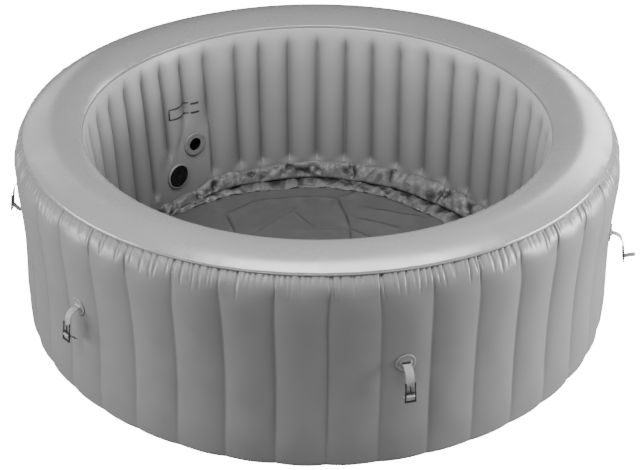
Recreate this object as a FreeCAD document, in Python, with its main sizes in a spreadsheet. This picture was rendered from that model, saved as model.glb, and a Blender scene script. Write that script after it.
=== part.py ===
"""Round inflatable hot tub: an air-filled wall ring of upright chambers round a water bowl.

Millimetres, +Z up.  The origin is the centre of the base, on the ground.  An azimuth is the
angle round the tub from the front (-Y) towards +X.  A radial piece is drawn with its axis
along its own +X and is then turned to its azimuth, so that +X points away from the tub.
"""
import FreeCAD, Part
import math
import os
import types
import Sketcher

V = FreeCAD.Vector
ALONG_X = V(1, 0, 0)
ALONG_Y = V(0, 1, 0)
ALONG_Z = V(0, 0, 1)

# ---------------------------------------------------------------- driving dimensions
DIMENSIONS = {
    # sheets and chambers
    "skin": 1.2,
    "chamber_count": 42,
    "panel_count": 14,
    "panel_gap_angle": 0.02,
    "web_thick": 0.5,
    "web_gap": 1.1,
    "web_top": 588,
    "weld_band": 3.5,
    "weld_high": 6,
    # outer wall
    "foot_radius": 1009,
    "foot_bend": 26,
    "base_lip": 28,
    "outer_seam_radius": 990,
    "outer_seam_high": 668,
    "wall_curve": 2500,
    # inner wall
    "bowl_radius": 757,
    "neck_radius": 778,
    "neck_high": 590,
    "inner_seam_radius": 794,
    "inner_seam_high": 655,
    # rim
    "rim_curve": 165,
    # floor
    "floor_gap": 0.3,
    "liner_radius": 750,
    "liner_thick": 2.5,
    "duct_wide": 60,
    "duct_tall": 72,
    "duct_curve": 60,
    # water fittings
    "pipe_bore": 23.5,
    "pipe_outer": 27,
    "sleeve_outer": 29.4,
    "wall_hole": 30,
    "gasket_thick": 2.5,
    "gasket_outer": 48,
    "return_high": 247,
    "return_flange_outer": 48,
    "suction_high": 136,
    "suction_flange_outer": 52,
    "strainer_radius": 40,
    "spigot_flange_outer": 50,
    "spigot_outer": 30,
    "spigot_long": 33,
    # air fittings
    "air_high": 120,
    "riser_outer": 13,
    "riser_bore": 11,
    "riser_top": 520,
    "riser_bend": 38,
    "air_flange_outer": 28,
    # inflation valve
    "valve_high": 615,
    "valve_hole": 18.5,
    "barrel_bore": 12.4,
    "barrel_outer": 15.5,
    "stem_radius": 3.2,
    "stem_clearance": 0.08,
    "cap_radius": 25,
    "cap_end": 40,
    # drain
    "drain_high": 55,
    "drain_bore": 14,
    "drain_outer": 16.5,
    "drain_hole": 17,
    "drain_flange_outer": 26,
    "drain_cap_radius": 24,
    # straps
    "strap_high": 369,
    "webbing_wide": 25,
    "webbing_thick": 1.8,
    "strap_arch": 32,
    "long_strap_arch": 62,
    "strap_fall": 54,
    "tail_long": 42,
    "bar_radius": 2,
    "bar_clearance": 0.08,
    "buckle_wide": 34,
    "prong_long": 31,
    "patch_radius": 30,
}
AIR_AZIMUTH = -148.3
RETURN_AZIMUTH = -139.9
SUCTION_AZIMUTH = -133.0
VALVE_AZIMUTH = -114.0
DRAIN_AZIMUTH = 108.9
FIRST_WEB_AZIMUTH = 1.7
STRAP_AZIMUTHS = (-45.4, 14.6, 74.6, 134.6, -165.4, -94.0)
OUTWARD_TAIL_STRAPS = (3,)
LONG_STRAPS = (6,)

doc = FreeCAD.newDocument("InflatableTub")
sheet = doc.addObject("Spreadsheet::Sheet", "Dims")
for row, (alias, number) in enumerate(DIMENSIONS.items(), start=1):
    sheet.set(f"A{row}", str(number))
    sheet.setAlias(f"A{row}", alias)
doc.recompute()


class Size:
    """A dimension that holds both its number and the sheet formula that the number comes from."""

    def __init__(self, value, text):
        self.value = value
        self.text = text

    @staticmethod
    def of(other):
        return other if isinstance(other, Size) else Size(float(other), f"({other})")

    def __add__(self, other):
        other = Size.of(other)
        return Size(self.value + other.value, f"({self.text} + {other.text})")

    def __sub__(self, other):
        other = Size.of(other)
        return Size(self.value - other.value, f"({self.text} - {other.text})")

    def __mul__(self, other):
        other = Size.of(other)
        return Size(self.value * other.value, f"({self.text} * {other.text})")

    def __truediv__(self, other):
        other = Size.of(other)
        return Size(self.value / other.value, f"({self.text} / {other.text})")

    def __neg__(self):
        return Size.of(0) - self


d = types.SimpleNamespace(
    **{alias: Size(number, f"Dims.{alias}") for alias, number in DIMENSIONS.items()}
)
sub_parts = []


# ---------------------------------------------------------------- helpers
def keep(item, label, placement=None):
    """Names a finished sub-part, sets its place and lists it for writing."""
    item.Label = label
    if placement is not None:
        item.Placement = placement
    sub_parts.append(item)
    return item


def radial(azimuth, radius=0.0, high=0.0, tilt=0.0):
    """The place of a radial piece: +X outwards at this azimuth, tipped up by tilt degrees."""
    angle = math.radians(azimuth)
    spot = V(radius * math.sin(angle), -radius * math.cos(angle), high)
    turn = FreeCAD.Rotation(ALONG_Z, azimuth - 90) * FreeCAD.Rotation(ALONG_Y, -tilt)
    return FreeCAD.Placement(spot, turn)


def bind(item, **sizes):
    """Binds an object's properties to the sheet."""
    for name, size in sizes.items():
        item.setExpression(name, Size.of(size).text)


def origin_plane(body, role):
    return next(f for f in body.Origin.OriginFeatures if f.Role == role)


def new_sketch(body, name, role="XZ_Plane"):
    sketch = body.newObject("Sketcher::SketchObject", name)
    sketch.AttachmentSupport = (origin_plane(body, role), [""])
    sketch.MapMode = "FlatFace"
    return sketch


def fix_point(sketch, edge, end, x, y):
    """Holds one point of a sketch at x, y by two constraints that are bound to the sheet."""
    for kind, axis, size in (("DistanceX", -2, Size.of(x)), ("DistanceY", -1, Size.of(y))):
        if size.value == 0:
            sketch.addConstraint(Sketcher.Constraint("PointOnObject", edge, end, axis))
            continue
        index = sketch.addConstraint(Sketcher.Constraint(kind, -1, 1, edge, end, size.value))
        sketch.setExpression(f"Constraints[{index}]", size.text)


def arc_between(start, finish, radius, turn):
    """The shorter arc of this radius; turn is 1 anticlockwise and -1 clockwise."""
    chord = finish - start
    reach = math.sqrt(radius**2 - (chord.Length / 2) ** 2)
    left = V(-chord.y, chord.x, 0).normalize()
    centre = (start + finish) * 0.5 + left * (reach * turn)
    first, last = (start, finish) if turn > 0 else (finish, start)
    angles = [math.atan2(p.y - centre.y, p.x - centre.x) for p in (first, last)]
    if angles[1] < angles[0]:
        angles[1] += 2 * math.pi
    return Part.ArcOfCircle(Part.Circle(centre, ALONG_Z, radius), *angles)


def outline(sketch, corners):
    """Adds a closed outline.  A corner is (x, y), or (x, y, radius, turn) to leave it on an arc."""
    points = [V(Size.of(c[0]).value, Size.of(c[1]).value, 0) for c in corners]
    ends = []
    for i, corner in enumerate(corners):
        start, finish = points[i], points[(i + 1) % len(points)]
        if len(corner) == 2:
            edge = sketch.addGeometry(Part.LineSegment(start, finish), False)
            ends.append((edge, 1, 2))
            continue
        radius, turn = corner[2:]
        arc = arc_between(start, finish, Size.of(radius).value, turn)
        edge = sketch.addGeometry(arc, False)
        ends.append((edge, 1, 2) if turn > 0 else (edge, 2, 1))
    for i, corner in enumerate(corners):
        edge, start_end, _ = ends[i]
        previous, _, finish_end = ends[i - 1]
        sketch.addConstraint(Sketcher.Constraint("Coincident", previous, finish_end, edge, start_end))
        fix_point(sketch, edge, start_end, corner[0], corner[1])
        if len(corner) == 4:
            size = Size.of(corner[2])
            index = sketch.addConstraint(Sketcher.Constraint("Radius", edge, size.value))
            sketch.setExpression(f"Constraints[{index}]", size.text)


def circle(sketch, x, y, radius):
    """Adds a circle whose centre and radius are bound to the sheet."""
    centre = V(Size.of(x).value, Size.of(y).value, 0)
    radius = Size.of(radius)
    edge = sketch.addGeometry(Part.Circle(centre, ALONG_Z, radius.value), False)
    fix_point(sketch, edge, 3, x, y)
    index = sketch.addConstraint(Sketcher.Constraint("Radius", edge, radius.value))
    sketch.setExpression(f"Constraints[{index}]", radius.text)


def revolved(name, axis, *outlines):
    """A body turned from outlines in its XZ plane, about its V_Axis (Z) or its H_Axis (X)."""
    body = doc.addObject("PartDesign::Body", name)
    sketch = new_sketch(body, name + "_profile")
    for corners in outlines:
        outline(sketch, corners)
    turn = body.newObject("PartDesign::Revolution", name + "_turn")
    turn.Profile = sketch
    turn.ReferenceAxis = (sketch, [axis])
    turn.Angle = 360
    sketch.Visibility = False
    return body


def panelled(name, *outlines):
    """A skin in equal panels that meet at every third chamber line, turned about the Z axis."""
    body = doc.addObject("PartDesign::Body", name)
    body.AllowCompound = True
    sketch = new_sketch(body, name + "_profile")
    for corners in outlines:
        outline(sketch, corners)
    turn = body.newObject("PartDesign::Revolution", name + "_turn")
    turn.Profile = sketch
    turn.ReferenceAxis = (sketch, ["V_Axis"])
    bind(turn, Angle=Size.of(360) / d.panel_count - d.panel_gap_angle)
    ring = body.newObject("PartDesign::PolarPattern", name + "_panels")
    ring.Originals = [turn]
    ring.Axis = (origin_plane(body, "Z_Axis"), [""])
    ring.Angle = 360
    bind(ring, Occurrences=d.panel_count)
    body.Tip = ring
    body.Placement = FreeCAD.Placement(V(0, 0, 0), FreeCAD.Rotation(ALONG_Z, FIRST_WEB_AZIMUTH - 90))
    return body


def padded(body, name, length, *outlines, role="XZ_Plane"):
    """Pads outlines half to each side of their plane."""
    sketch = new_sketch(body, name, role)
    for corners in outlines:
        outline(sketch, corners)
    pad = body.newObject("PartDesign::Pad", name + "_pad")
    pad.Profile = sketch
    pad.SideType = "Symmetric"
    bind(pad, Length=length)
    return pad


def drilled(label, blank, holes, placement=None):
    """A blank with cylinders cut out of it."""
    tool = holes[0]
    if len(holes) > 1:
        tool = doc.addObject("Part::Compound", label + "_holes")
        tool.Links = holes
    cut = doc.addObject("Part::Cut", label + "_cut")
    cut.Base = blank
    cut.Tool = tool
    blank.Label = label + "_blank"
    return keep(cut, label, placement)


def radial_hole(name, azimuth, start, finish, high, radius):
    """A cylinder along a radius of the tub, from start to finish."""
    hole = doc.addObject("Part::Cylinder", name)
    bind(hole, Radius=radius, Height=finish - start)
    lie_down = FreeCAD.Placement(V(start, 0, 0), FreeCAD.Rotation(ALONG_Y, 90))
    hole.Placement = radial(azimuth, high=high) * lie_down
    return hole


def ring_profile(x0, x1, inner, outer):
    """A plain ring about the X axis."""
    return [(x0, inner), (x1, inner), (x1, outer), (x0, outer)]


# ---------------------------------------------------------------- air chamber skins
FOOT_HIGH = DIMENSIONS["base_lip"] + DIMENSIONS["weld_high"]
foot_high = d.base_lip + d.weld_high


def wall_radius(high):
    """Radius of the outer wall's outside at a height: the wall is one long upright arc."""
    foot = V(DIMENSIONS["foot_radius"], FOOT_HIGH, 0)
    seam = V(DIMENSIONS["outer_seam_radius"], DIMENSIONS["outer_seam_high"], 0)
    centre = arc_between(foot, seam, DIMENSIONS["wall_curve"], 1).Center
    return centre.x + math.sqrt(DIMENSIONS["wall_curve"] ** 2 - (high - centre.y) ** 2)


def wall_slope(high):
    """Degrees by which the outer wall's outward normal tips up at a height."""
    foot = V(DIMENSIONS["foot_radius"], FOOT_HIGH, 0)
    seam = V(DIMENSIONS["outer_seam_radius"], DIMENSIONS["outer_seam_high"], 0)
    centre = arc_between(foot, seam, DIMENSIONS["wall_curve"], 1).Center
    return math.degrees(math.asin((high - centre.y) / DIMENSIONS["wall_curve"]))


# radii that the cutting tools start and end at: inside the bowl, between the skins, outside the tub
DUCT_FRONT = 670
BOWL_SIDE = 735
BETWEEN_SKINS = 880
OUTSIDE = 1040
AIR_HOLE = d.riser_outer + 0.3

water_holes = [
    radial_hole("suction_way", SUCTION_AZIMUTH, BOWL_SIDE, OUTSIDE, DIMENSIONS["suction_high"], d.wall_hole),
    radial_hole("return_way", RETURN_AZIMUTH, BOWL_SIDE, OUTSIDE, DIMENSIONS["return_high"], d.wall_hole),
]
air_inner_hole = radial_hole(
    "air_way_in", AIR_AZIMUTH, BOWL_SIDE, BETWEEN_SKINS, DIMENSIONS["drain_high"], AIR_HOLE
)
air_outer_hole = radial_hole(
    "air_way_out", AIR_AZIMUTH, BETWEEN_SKINS, OUTSIDE, DIMENSIONS["air_high"], AIR_HOLE
)
drain_way = radial_hole(
    "drain_way", DRAIN_AZIMUTH, DUCT_FRONT, OUTSIDE, DIMENSIONS["drain_high"], d.drain_hole
)
VALVE_CUT = 30
VALVE_TILT = wall_slope(DIMENSIONS["valve_high"])
VALVE_PLACE = radial(VALVE_AZIMUTH, wall_radius(DIMENSIONS["valve_high"]), DIMENSIONS["valve_high"], VALVE_TILT)
valve_way = doc.addObject("Part::Cylinder", "valve_way")
bind(valve_way, Radius=d.valve_hole, Height=VALVE_CUT)
valve_way.Placement = VALVE_PLACE * FreeCAD.Placement(V(-VALVE_CUT / 2, 0, 0), FreeCAD.Rotation(ALONG_Y, 90))


def make_outer_wall():
    corners = [
        (d.foot_radius, foot_high, d.wall_curve, 1),
        (d.outer_seam_radius, d.outer_seam_high),
        (d.outer_seam_radius - d.skin, d.outer_seam_high, d.wall_curve, -1),
        (d.foot_radius - d.skin, foot_high),
    ]
    blank = panelled("outer_wall_skin", corners)
    drilled("outer_wall", blank, water_holes + [air_outer_hole, drain_way, valve_way])


def make_inner_wall():
    standing = d.skin + d.floor_gap
    corners = [
        (d.bowl_radius, standing),
        (d.bowl_radius + d.skin, standing),
        (d.neck_radius + d.skin, d.neck_high),
        (d.inner_seam_radius + d.skin, d.inner_seam_high),
        (d.inner_seam_radius, d.inner_seam_high),
        (d.neck_radius, d.neck_high),
    ]
    blank = panelled("inner_wall_skin", corners)
    drilled("inner_wall", blank, water_holes + [air_inner_hole, drain_way])


def make_top_rim():
    outer_high = d.outer_seam_high + d.weld_high
    inner_high = d.inner_seam_high + d.weld_high
    corners = [
        (d.outer_seam_radius, outer_high, d.rim_curve, 1),
        (d.inner_seam_radius, inner_high),
        (d.inner_seam_radius + d.skin, inner_high, d.rim_curve + d.skin, -1),
        (d.outer_seam_radius - d.skin, outer_high),
    ]
    keep(revolved("top_rim", "V_Axis", corners), "top_rim")


def make_base_sheet():
    flat_radius = d.foot_radius - d.foot_bend
    inside = d.foot_radius - d.skin
    corners = [
        (0, 0),
        (flat_radius, 0, d.foot_bend, 1),
        (d.foot_radius, d.foot_bend),
        (d.foot_radius, d.base_lip),
        (inside, d.base_lip),
        (inside, d.foot_bend, d.foot_bend - d.skin, -1),
        (flat_radius, d.skin),
        (0, d.skin),
    ]
    keep(revolved("base_sheet", "V_Axis", corners), "base_sheet")


def make_weld(label, radius, low):
    """A welded seam: the flat band in which two sheets lie on each other."""
    inner = radius - d.weld_band / 2
    keep(revolved(label, "V_Axis", ring_profile(inner, inner + d.weld_band, low, low + d.weld_high)), label)


def make_wall_baffles():
    """Upright webs that tie the two walls together; two stand above the water fittings."""
    body = doc.addObject("PartDesign::Body", "baffle_ring")
    body.AllowCompound = True
    inner = d.bowl_radius + d.skin + d.web_gap * 2
    neck = d.neck_radius + d.skin + d.web_gap
    outer_top = d.outer_seam_radius + 8
    corners = [
        (inner, d.skin + 2),
        (d.foot_radius - 34, d.skin + 2),
        (d.foot_radius - 5, foot_high - 4, d.wall_curve, 1),
        (outer_top, d.web_top),
        (neck, d.web_top),
    ]
    first = padded(body, "baffle", d.web_thick, corners)
    ring = body.newObject("PartDesign::PolarPattern", "baffle_copies")
    ring.Originals = [first]
    ring.Axis = (origin_plane(body, "Z_Axis"), [""])
    ring.Angle = 360
    bind(ring, Occurrences=d.chamber_count)
    body.Tip = ring
    body.Placement = FreeCAD.Placement(V(0, 0, 0), FreeCAD.Rotation(ALONG_Z, FIRST_WEB_AZIMUTH - 90))
    clear = doc.addObject("Part::Box", "fitting_space")
    fitting_top = d.return_high + 100
    fitting_wide = 330
    bind(clear, Length=300, Width=fitting_wide, Height=fitting_top)
    middle = (RETURN_AZIMUTH + SUCTION_AZIMUTH) / 2 + 0.5
    clear.Placement = radial(middle) * FreeCAD.Placement(V(740, -fitting_wide / 2, 1), FreeCAD.Rotation())
    drilled("wall_baffles", body, [clear])


def make_floor_liner():
    liner = doc.addObject("Part::Cylinder", "floor_liner")
    bind(liner, Radius=d.liner_radius, Height=d.liner_thick)
    keep(liner, "floor_liner", FreeCAD.Placement(V(0, 0, LINER_LOW), FreeCAD.Rotation()))


LINER_LOW = DIMENSIONS["skin"] + DIMENSIONS["floor_gap"]


def make_bubble_duct():
    """The gathered ring at the foot of the bowl: a closed sleeve that carries the bubble air."""
    low = d.skin + d.floor_gap * 2 + d.liner_thick + 0.2
    back = d.bowl_radius - 0.7
    front = back - d.duct_wide
    outside = [
        (back, low),
        (front, low, d.duct_curve, -1),
        (back, low + d.duct_tall),
    ]
    inside = [
        (back - d.skin, low + d.skin),
        (front + d.skin * 1.4, low + d.skin, d.duct_curve - d.skin, -1),
        (back - d.skin, low + d.duct_tall - d.skin),
    ]
    blank = panelled("duct_sleeve", outside, inside)
    drilled("bubble_duct", blank, [air_inner_hole, drain_way])


# ---------------------------------------------------------------- water fittings
def sleeve_ends(high):
    """Radii between which a pipe through the wall is clear of both skins."""
    lean = (DIMENSIONS["neck_radius"] - DIMENSIONS["bowl_radius"]) / DIMENSIONS["neck_high"]
    near = DIMENSIONS["bowl_radius"] + lean * (high + DIMENSIONS["wall_hole"]) + DIMENSIONS["skin"] + 0.4
    lowest = min(wall_radius(high - DIMENSIONS["wall_hole"]), wall_radius(high + DIMENSIONS["wall_hole"]))
    return near, lowest - DIMENSIONS["skin"] - 1.2


def inside_face(high, spread):
    """Radius of a flat face that just clears the inside of the bowl within this spread."""
    lean = (DIMENSIONS["neck_radius"] - DIMENSIONS["bowl_radius"]) / DIMENSIONS["neck_high"]
    surface = DIMENSIONS["bowl_radius"] + lean * (high - spread)
    return math.sqrt(surface**2 - spread**2) - 0.2


def outside_face(high, spread):
    """Radius of a flat face that just clears the outside of the wall within this spread."""
    return max(wall_radius(high + step * spread) for step in (-1, -0.5, 0, 0.5, 1)) + 0.4


def make_water_fitting(name, azimuth, high, flange_outer, recess):
    """Flange and gasket in the bowl, sleeve through the wall, gasket and threaded spigot outside."""
    place = radial(azimuth, high=high)
    gasket_face = inside_face(high, DIMENSIONS["gasket_outer"])
    back = gasket_face - DIMENSIONS["gasket_thick"] - 0.2
    front = back - 7
    rounding = 2.5
    mouth_rounding = 4
    flange = [
        (front + (recess or mouth_rounding), d.pipe_bore),
        (back + 44, d.pipe_bore),
        (back + 44, d.pipe_outer),
        (back, d.pipe_outer),
        (back, flange_outer),
        (front + rounding, flange_outer, rounding, 1),
        (front, flange_outer - rounding),
    ]
    if recess:
        seat = d.strainer_radius + 0.6
        flange += [(front, seat), (front + recess, seat)]
    else:
        flange += [(front, d.pipe_bore + mouth_rounding, mouth_rounding, 1)]
    keep(revolved(name + "_flange", "H_Axis", flange), name + "_flange", place)
    washer = ring_profile(back + 0.1, gasket_face - 0.1, d.pipe_outer + 0.3, d.gasket_outer)
    keep(revolved(name + "_gasket", "H_Axis", washer), name + "_gasket", place)
    near, far = sleeve_ends(high)
    sleeve = ring_profile(near, far, d.pipe_outer + 0.3, d.sleeve_outer)
    keep(revolved(name + "_sleeve", "H_Axis", sleeve), name + "_sleeve", place)
    wall_face = outside_face(high, DIMENSIONS["spigot_flange_outer"])
    washer = ring_profile(wall_face, wall_face + d.gasket_thick.value, d.pipe_outer + 0.3, d.gasket_outer)
    keep(revolved(name + "_outer_gasket", "H_Axis", washer), name + "_outer_gasket", place)
    seat = wall_face + d.gasket_thick.value + 0.1
    tip = Size.of(seat) + d.spigot_long
    spigot = [
        (far - 40, d.pipe_bore),
        (tip, d.pipe_bore),
        (tip, d.spigot_outer),
        (seat + 5, d.spigot_outer),
        (seat + 5, d.spigot_flange_outer),
        (seat, d.spigot_flange_outer),
        (seat, d.pipe_outer),
        (far - 40, d.pipe_outer),
    ]
    keep(revolved(name + "_spigot", "H_Axis", spigot), name + "_spigot", place)
    return front


def make_suction_strainer(front):
    """Round debris screen that turns in the recess of the suction flange; slots let water in."""
    body = doc.addObject("PartDesign::Body", "suction_strainer")
    sketch = new_sketch(body, "strainer_profile")
    face = front - 3
    crown = 4
    outline(
        sketch,
        [
            (face - crown, 0),
            (front + 3.6, 0),
            (front + 3.6, d.strainer_radius),
            (face + 1, d.strainer_radius, 240, -1),
        ],
    )
    disc = body.newObject("PartDesign::Revolution", "strainer_disc")
    disc.Profile = sketch
    disc.ReferenceAxis = (sketch, ["H_Axis"])
    disc.Angle = 360
    slot_sketch = new_sketch(body, "strainer_slot", "XY_Plane")
    reach = 12
    outline(
        slot_sketch,
        [(face - 8, 14), (front + 8, 14), (front + 8, 14 + reach * 1.7), (face - 8, 14 + reach * 1.7)],
    )
    slot = body.newObject("PartDesign::Pocket", "strainer_slot_cut")
    slot.Profile = slot_sketch
    slot.SideType = "Symmetric"
    slot.Length = 3.2
    slots = body.newObject("PartDesign::PolarPattern", "strainer_slots")
    slots.Originals = [slot]
    slots.Axis = (origin_plane(body, "X_Axis"), [""])
    slots.Angle = 360
    slots.Occurrences = 12
    body.Tip = slots
    keep(body, "suction_strainer", radial(SUCTION_AZIMUTH, high=DIMENSIONS["suction_high"]))


# ---------------------------------------------------------------- air fittings
def bent_path(points, bend):
    """A wire of straight runs joined by tangent arcs of one radius."""
    edges = []
    start = points[0]
    for before, corner, after in zip(points, points[1:], points[2:]):
        arrive = (corner - before).normalize()
        leave = (after - corner).normalize()
        back_off = bend * math.tan(arrive.getAngle(leave) / 2)
        bend_start = corner - arrive * back_off
        bend_end = corner + leave * back_off
        inward = (leave - arrive).normalize()
        reach = math.hypot(bend, back_off)
        middle = corner + inward * (reach - bend)
        edges.append(Part.LineSegment(start, bend_start).toShape())
        edges.append(Part.Arc(bend_start, middle, bend_end).toShape())
        start = bend_end
    edges.append(Part.LineSegment(start, points[-1]).toShape())
    return Part.Wire(edges)


def make_air_riser():
    """Air pipe inside one chamber: it climbs above the water line so that water can't run back."""
    out_start = sleeve_ends(DIMENSIONS["air_high"])[1] - 1.5
    down = 850
    up = 930
    low = DIMENSIONS["drain_high"]
    end = DIMENSIONS["bowl_radius"] - 4
    points = [
        V(out_start, 0, DIMENSIONS["air_high"]),
        V(up, 0, DIMENSIONS["air_high"]),
        V(up, 0, DIMENSIONS["riser_top"]),
        V(down, 0, DIMENSIONS["riser_top"]),
        V(down, 0, low),
        V(end, 0, low),
    ]
    path = bent_path(points, DIMENSIONS["riser_bend"])
    tubes = []
    for radius in (DIMENSIONS["riser_outer"], DIMENSIONS["riser_bore"]):
        section = Part.Wire(Part.Circle(points[0], ALONG_X, radius).toShape())
        tubes.append(path.makePipeShell([section], True, False))
    riser = doc.addObject("Part::Feature", "air_riser")
    riser.Shape = tubes[0].cut(tubes[1])
    keep(riser, "air_riser", radial(AIR_AZIMUTH))


def make_air_spigot():
    face = outside_face(DIMENSIONS["air_high"], DIMENSIONS["air_flange_outer"])
    inner_end = sleeve_ends(DIMENSIONS["air_high"])[1] - 14
    tube = d.riser_bore - 0.2
    corners = [
        (inner_end, tube - 2.4),
        (face + 34, tube - 2.4),
        (face + 34, tube + 3),
        (face + 4, tube + 3),
        (face + 4, d.air_flange_outer),
        (face, d.air_flange_outer),
        (face, tube),
        (inner_end, tube),
    ]
    keep(revolved("air_spigot", "H_Axis", corners), "air_spigot", radial(AIR_AZIMUTH, high=DIMENSIONS["air_high"]))


# ---------------------------------------------------------------- inflation valve
def make_valve():
    """Push valve: a spring holds the plunger's seal against the inner end of the barrel."""
    base = [
        (-12, d.barrel_outer + 0.1),
        (-12, d.valve_hole - 1),
        (0.5, d.valve_hole - 1),
        (0.5, 32),
        (2.2, 32),
        (3.4, 28),
        (6, 20),
        (6, d.barrel_outer + 0.1),
    ]
    keep(revolved("valve_base", "H_Axis", base), "valve_base", VALVE_PLACE)

    barrel = doc.addObject("PartDesign::Body", "valve_barrel")
    sketch = new_sketch(barrel, "barrel_profile")
    bore = d.stem_radius + d.stem_clearance
    outline(
        sketch,
        [
            (-14, d.barrel_bore),
            (-4, d.barrel_bore),
            (-4, bore),
            (-1, bore),
            (-1, d.barrel_bore),
            (14, d.barrel_bore),
            (14, d.barrel_outer - 1),
            (8.2, d.barrel_outer - 1),
            (8.2, d.barrel_outer + 5),
            (6.2, d.barrel_outer + 5),
            (6.2, d.barrel_outer),
            (-14, d.barrel_outer),
        ],
    )
    turn = barrel.newObject("PartDesign::Revolution", "barrel_turn")
    turn.Profile = sketch
    turn.ReferenceAxis = (sketch, ["H_Axis"])
    turn.Angle = 360
    vent_sketch = new_sketch(barrel, "barrel_vent", "YZ_Plane")
    circle(vent_sketch, 8.2, 0, 2.6)
    vent = barrel.newObject("PartDesign::Pocket", "barrel_vent_cut")
    vent.Profile = vent_sketch
    vent.SideType = "Symmetric"
    vent.Length = 12
    vents = barrel.newObject("PartDesign::PolarPattern", "barrel_vents")
    vents.Originals = [vent]
    vents.Axis = (origin_plane(barrel, "X_Axis"), [""])
    vents.Angle = 360
    vents.Occurrences = 6
    barrel.Tip = vents
    keep(barrel, "valve_body", VALVE_PLACE)

    plunger = [
        (-17, 0),
        (10.5, 0),
        (10.5, 6.5),
        (8, 6.5),
        (8, d.stem_radius),
        (-14.3, d.stem_radius),
        (-14.3, 15),
        (-17, 15),
    ]
    keep(revolved("valve_plunger", "H_Axis", plunger), "valve_plunger", VALVE_PLACE)

    coil_radius = 4.7
    wire_radius = 0.5
    coil_start = -0.4
    coil_long = 7.8
    helix = Part.makeHelix(coil_long / 5, coil_long, coil_radius)
    start = V(coil_radius, 0, 0)
    section = Part.Wire(Part.Circle(start, ALONG_Y, wire_radius).toShape())
    coil = Part.Wire(helix).makePipeShell([section], True, True)
    spring = doc.addObject("Part::Feature", "valve_spring")
    spring.Shape = coil
    lie_down = FreeCAD.Placement(V(coil_start, 0, 0), FreeCAD.Rotation(ALONG_Y, 90))
    keep(spring, "valve_spring", VALVE_PLACE * lie_down)

    rounding = 4
    cap = [
        (8.8, d.barrel_outer - 0.7),
        (17, d.barrel_outer - 0.7),
        (17, 0),
        (d.cap_end, 0),
        (d.cap_end, d.cap_radius - rounding, rounding, 1),
        (d.cap_end - rounding, d.cap_radius),
        (8.8, d.cap_radius),
    ]
    keep(revolved("valve_cap", "H_Axis", cap), "valve_cap", VALVE_PLACE)


# ---------------------------------------------------------------- drain
def make_drain():
    """A pipe through the bubble duct and the wall, with a stopper inside and a screw cap outside."""
    high = DIMENSIONS["drain_high"]
    place = radial(DRAIN_AZIMUTH, high=high)
    face = outside_face(high, DIMENSIONS["drain_flange_outer"])
    mouth = DIMENSIONS["bowl_radius"] - DIMENSIONS["duct_wide"] - 14
    pipe = ring_profile(mouth, face - 0.1, d.drain_bore, d.drain_outer)
    keep(revolved("drain_pipe", "H_Axis", pipe), "drain_pipe", place)
    washer = ring_profile(face, face + 2, d.drain_bore + 3.5, d.drain_flange_outer - 1)
    keep(revolved("drain_gasket", "H_Axis", washer), "drain_gasket", place)
    seat = face + 2.1
    flange = [
        (face, d.drain_bore),
        (seat + 26, d.drain_bore),
        (seat + 26, d.drain_bore + 5),
        (seat + 4, d.drain_bore + 5),
        (seat + 4, d.drain_flange_outer),
        (seat, d.drain_flange_outer),
        (seat, d.drain_bore + 3.2),
        (face, d.drain_bore + 3.2),
    ]
    keep(revolved("drain_flange", "H_Axis", flange), "drain_flange", place)
    cap_start = seat + 5
    cap_inside = seat + 26.6
    cap = [
        (cap_start, d.drain_bore + 5.4),
        (cap_inside, d.drain_bore + 5.4),
        (cap_inside, 0),
        (cap_inside + 3, 0),
        (cap_inside + 3, d.drain_cap_radius - 2),
        (cap_inside + 1, d.drain_cap_radius),
        (cap_start, d.drain_cap_radius),
    ]
    keep(revolved("drain_cap", "H_Axis", cap), "drain_cap", place)
    stopper = [
        (mouth - 4.3, 0),
        (mouth + 12, 0),
        (mouth + 12, d.drain_bore - 1.2),
        (mouth - 0.3, d.drain_bore - 0.4),
        (mouth - 0.3, d.drain_outer + 4),
        (mouth - 4.3, d.drain_outer + 2),
    ]
    keep(revolved("drain_stopper", "H_Axis", stopper), "drain_stopper", place)


# ---------------------------------------------------------------- straps
STRAP_TOP_HEADING = 10
STRAP_END_HEADING = 82
PATCH_FACE = max(wall_radius(h) for h in (300, 340, 380, 420, 460)) + 0.3
ROOT_RADIUS = PATCH_FACE + DIMENSIONS["skin"] + 0.4 + DIMENSIONS["webbing_thick"] / 2


def heading(degrees):
    """Unit vector of the webbing's run, degrees below the outward horizontal."""
    return V(math.cos(math.radians(degrees)), -math.sin(math.radians(degrees)), 0)


def strap_arch(number):
    """Radius of a strap's arch; the straps that were pulled out keep a wider one."""
    return DIMENSIONS["long_strap_arch" if number in LONG_STRAPS else "strap_arch"]


def strap_line(arch):
    """Centre line of the webbing from its sewn root: an arch, then a straight fall to the bar."""
    start = heading(-STRAP_TOP_HEADING)
    centre = V(start.y, -start.x, 0) * arch
    finish = heading(STRAP_END_HEADING)
    arch_end = centre + V(-finish.y, finish.x, 0) * arch
    fall_end = arch_end + finish * DIMENSIONS["strap_fall"]
    outward = V(-finish.y, finish.x, 0)
    gap = DIMENSIONS["bar_radius"] + 0.4 + DIMENSIONS["webbing_thick"] / 2
    bar = fall_end + outward * gap
    return centre, arch_end, fall_end, bar


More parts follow.
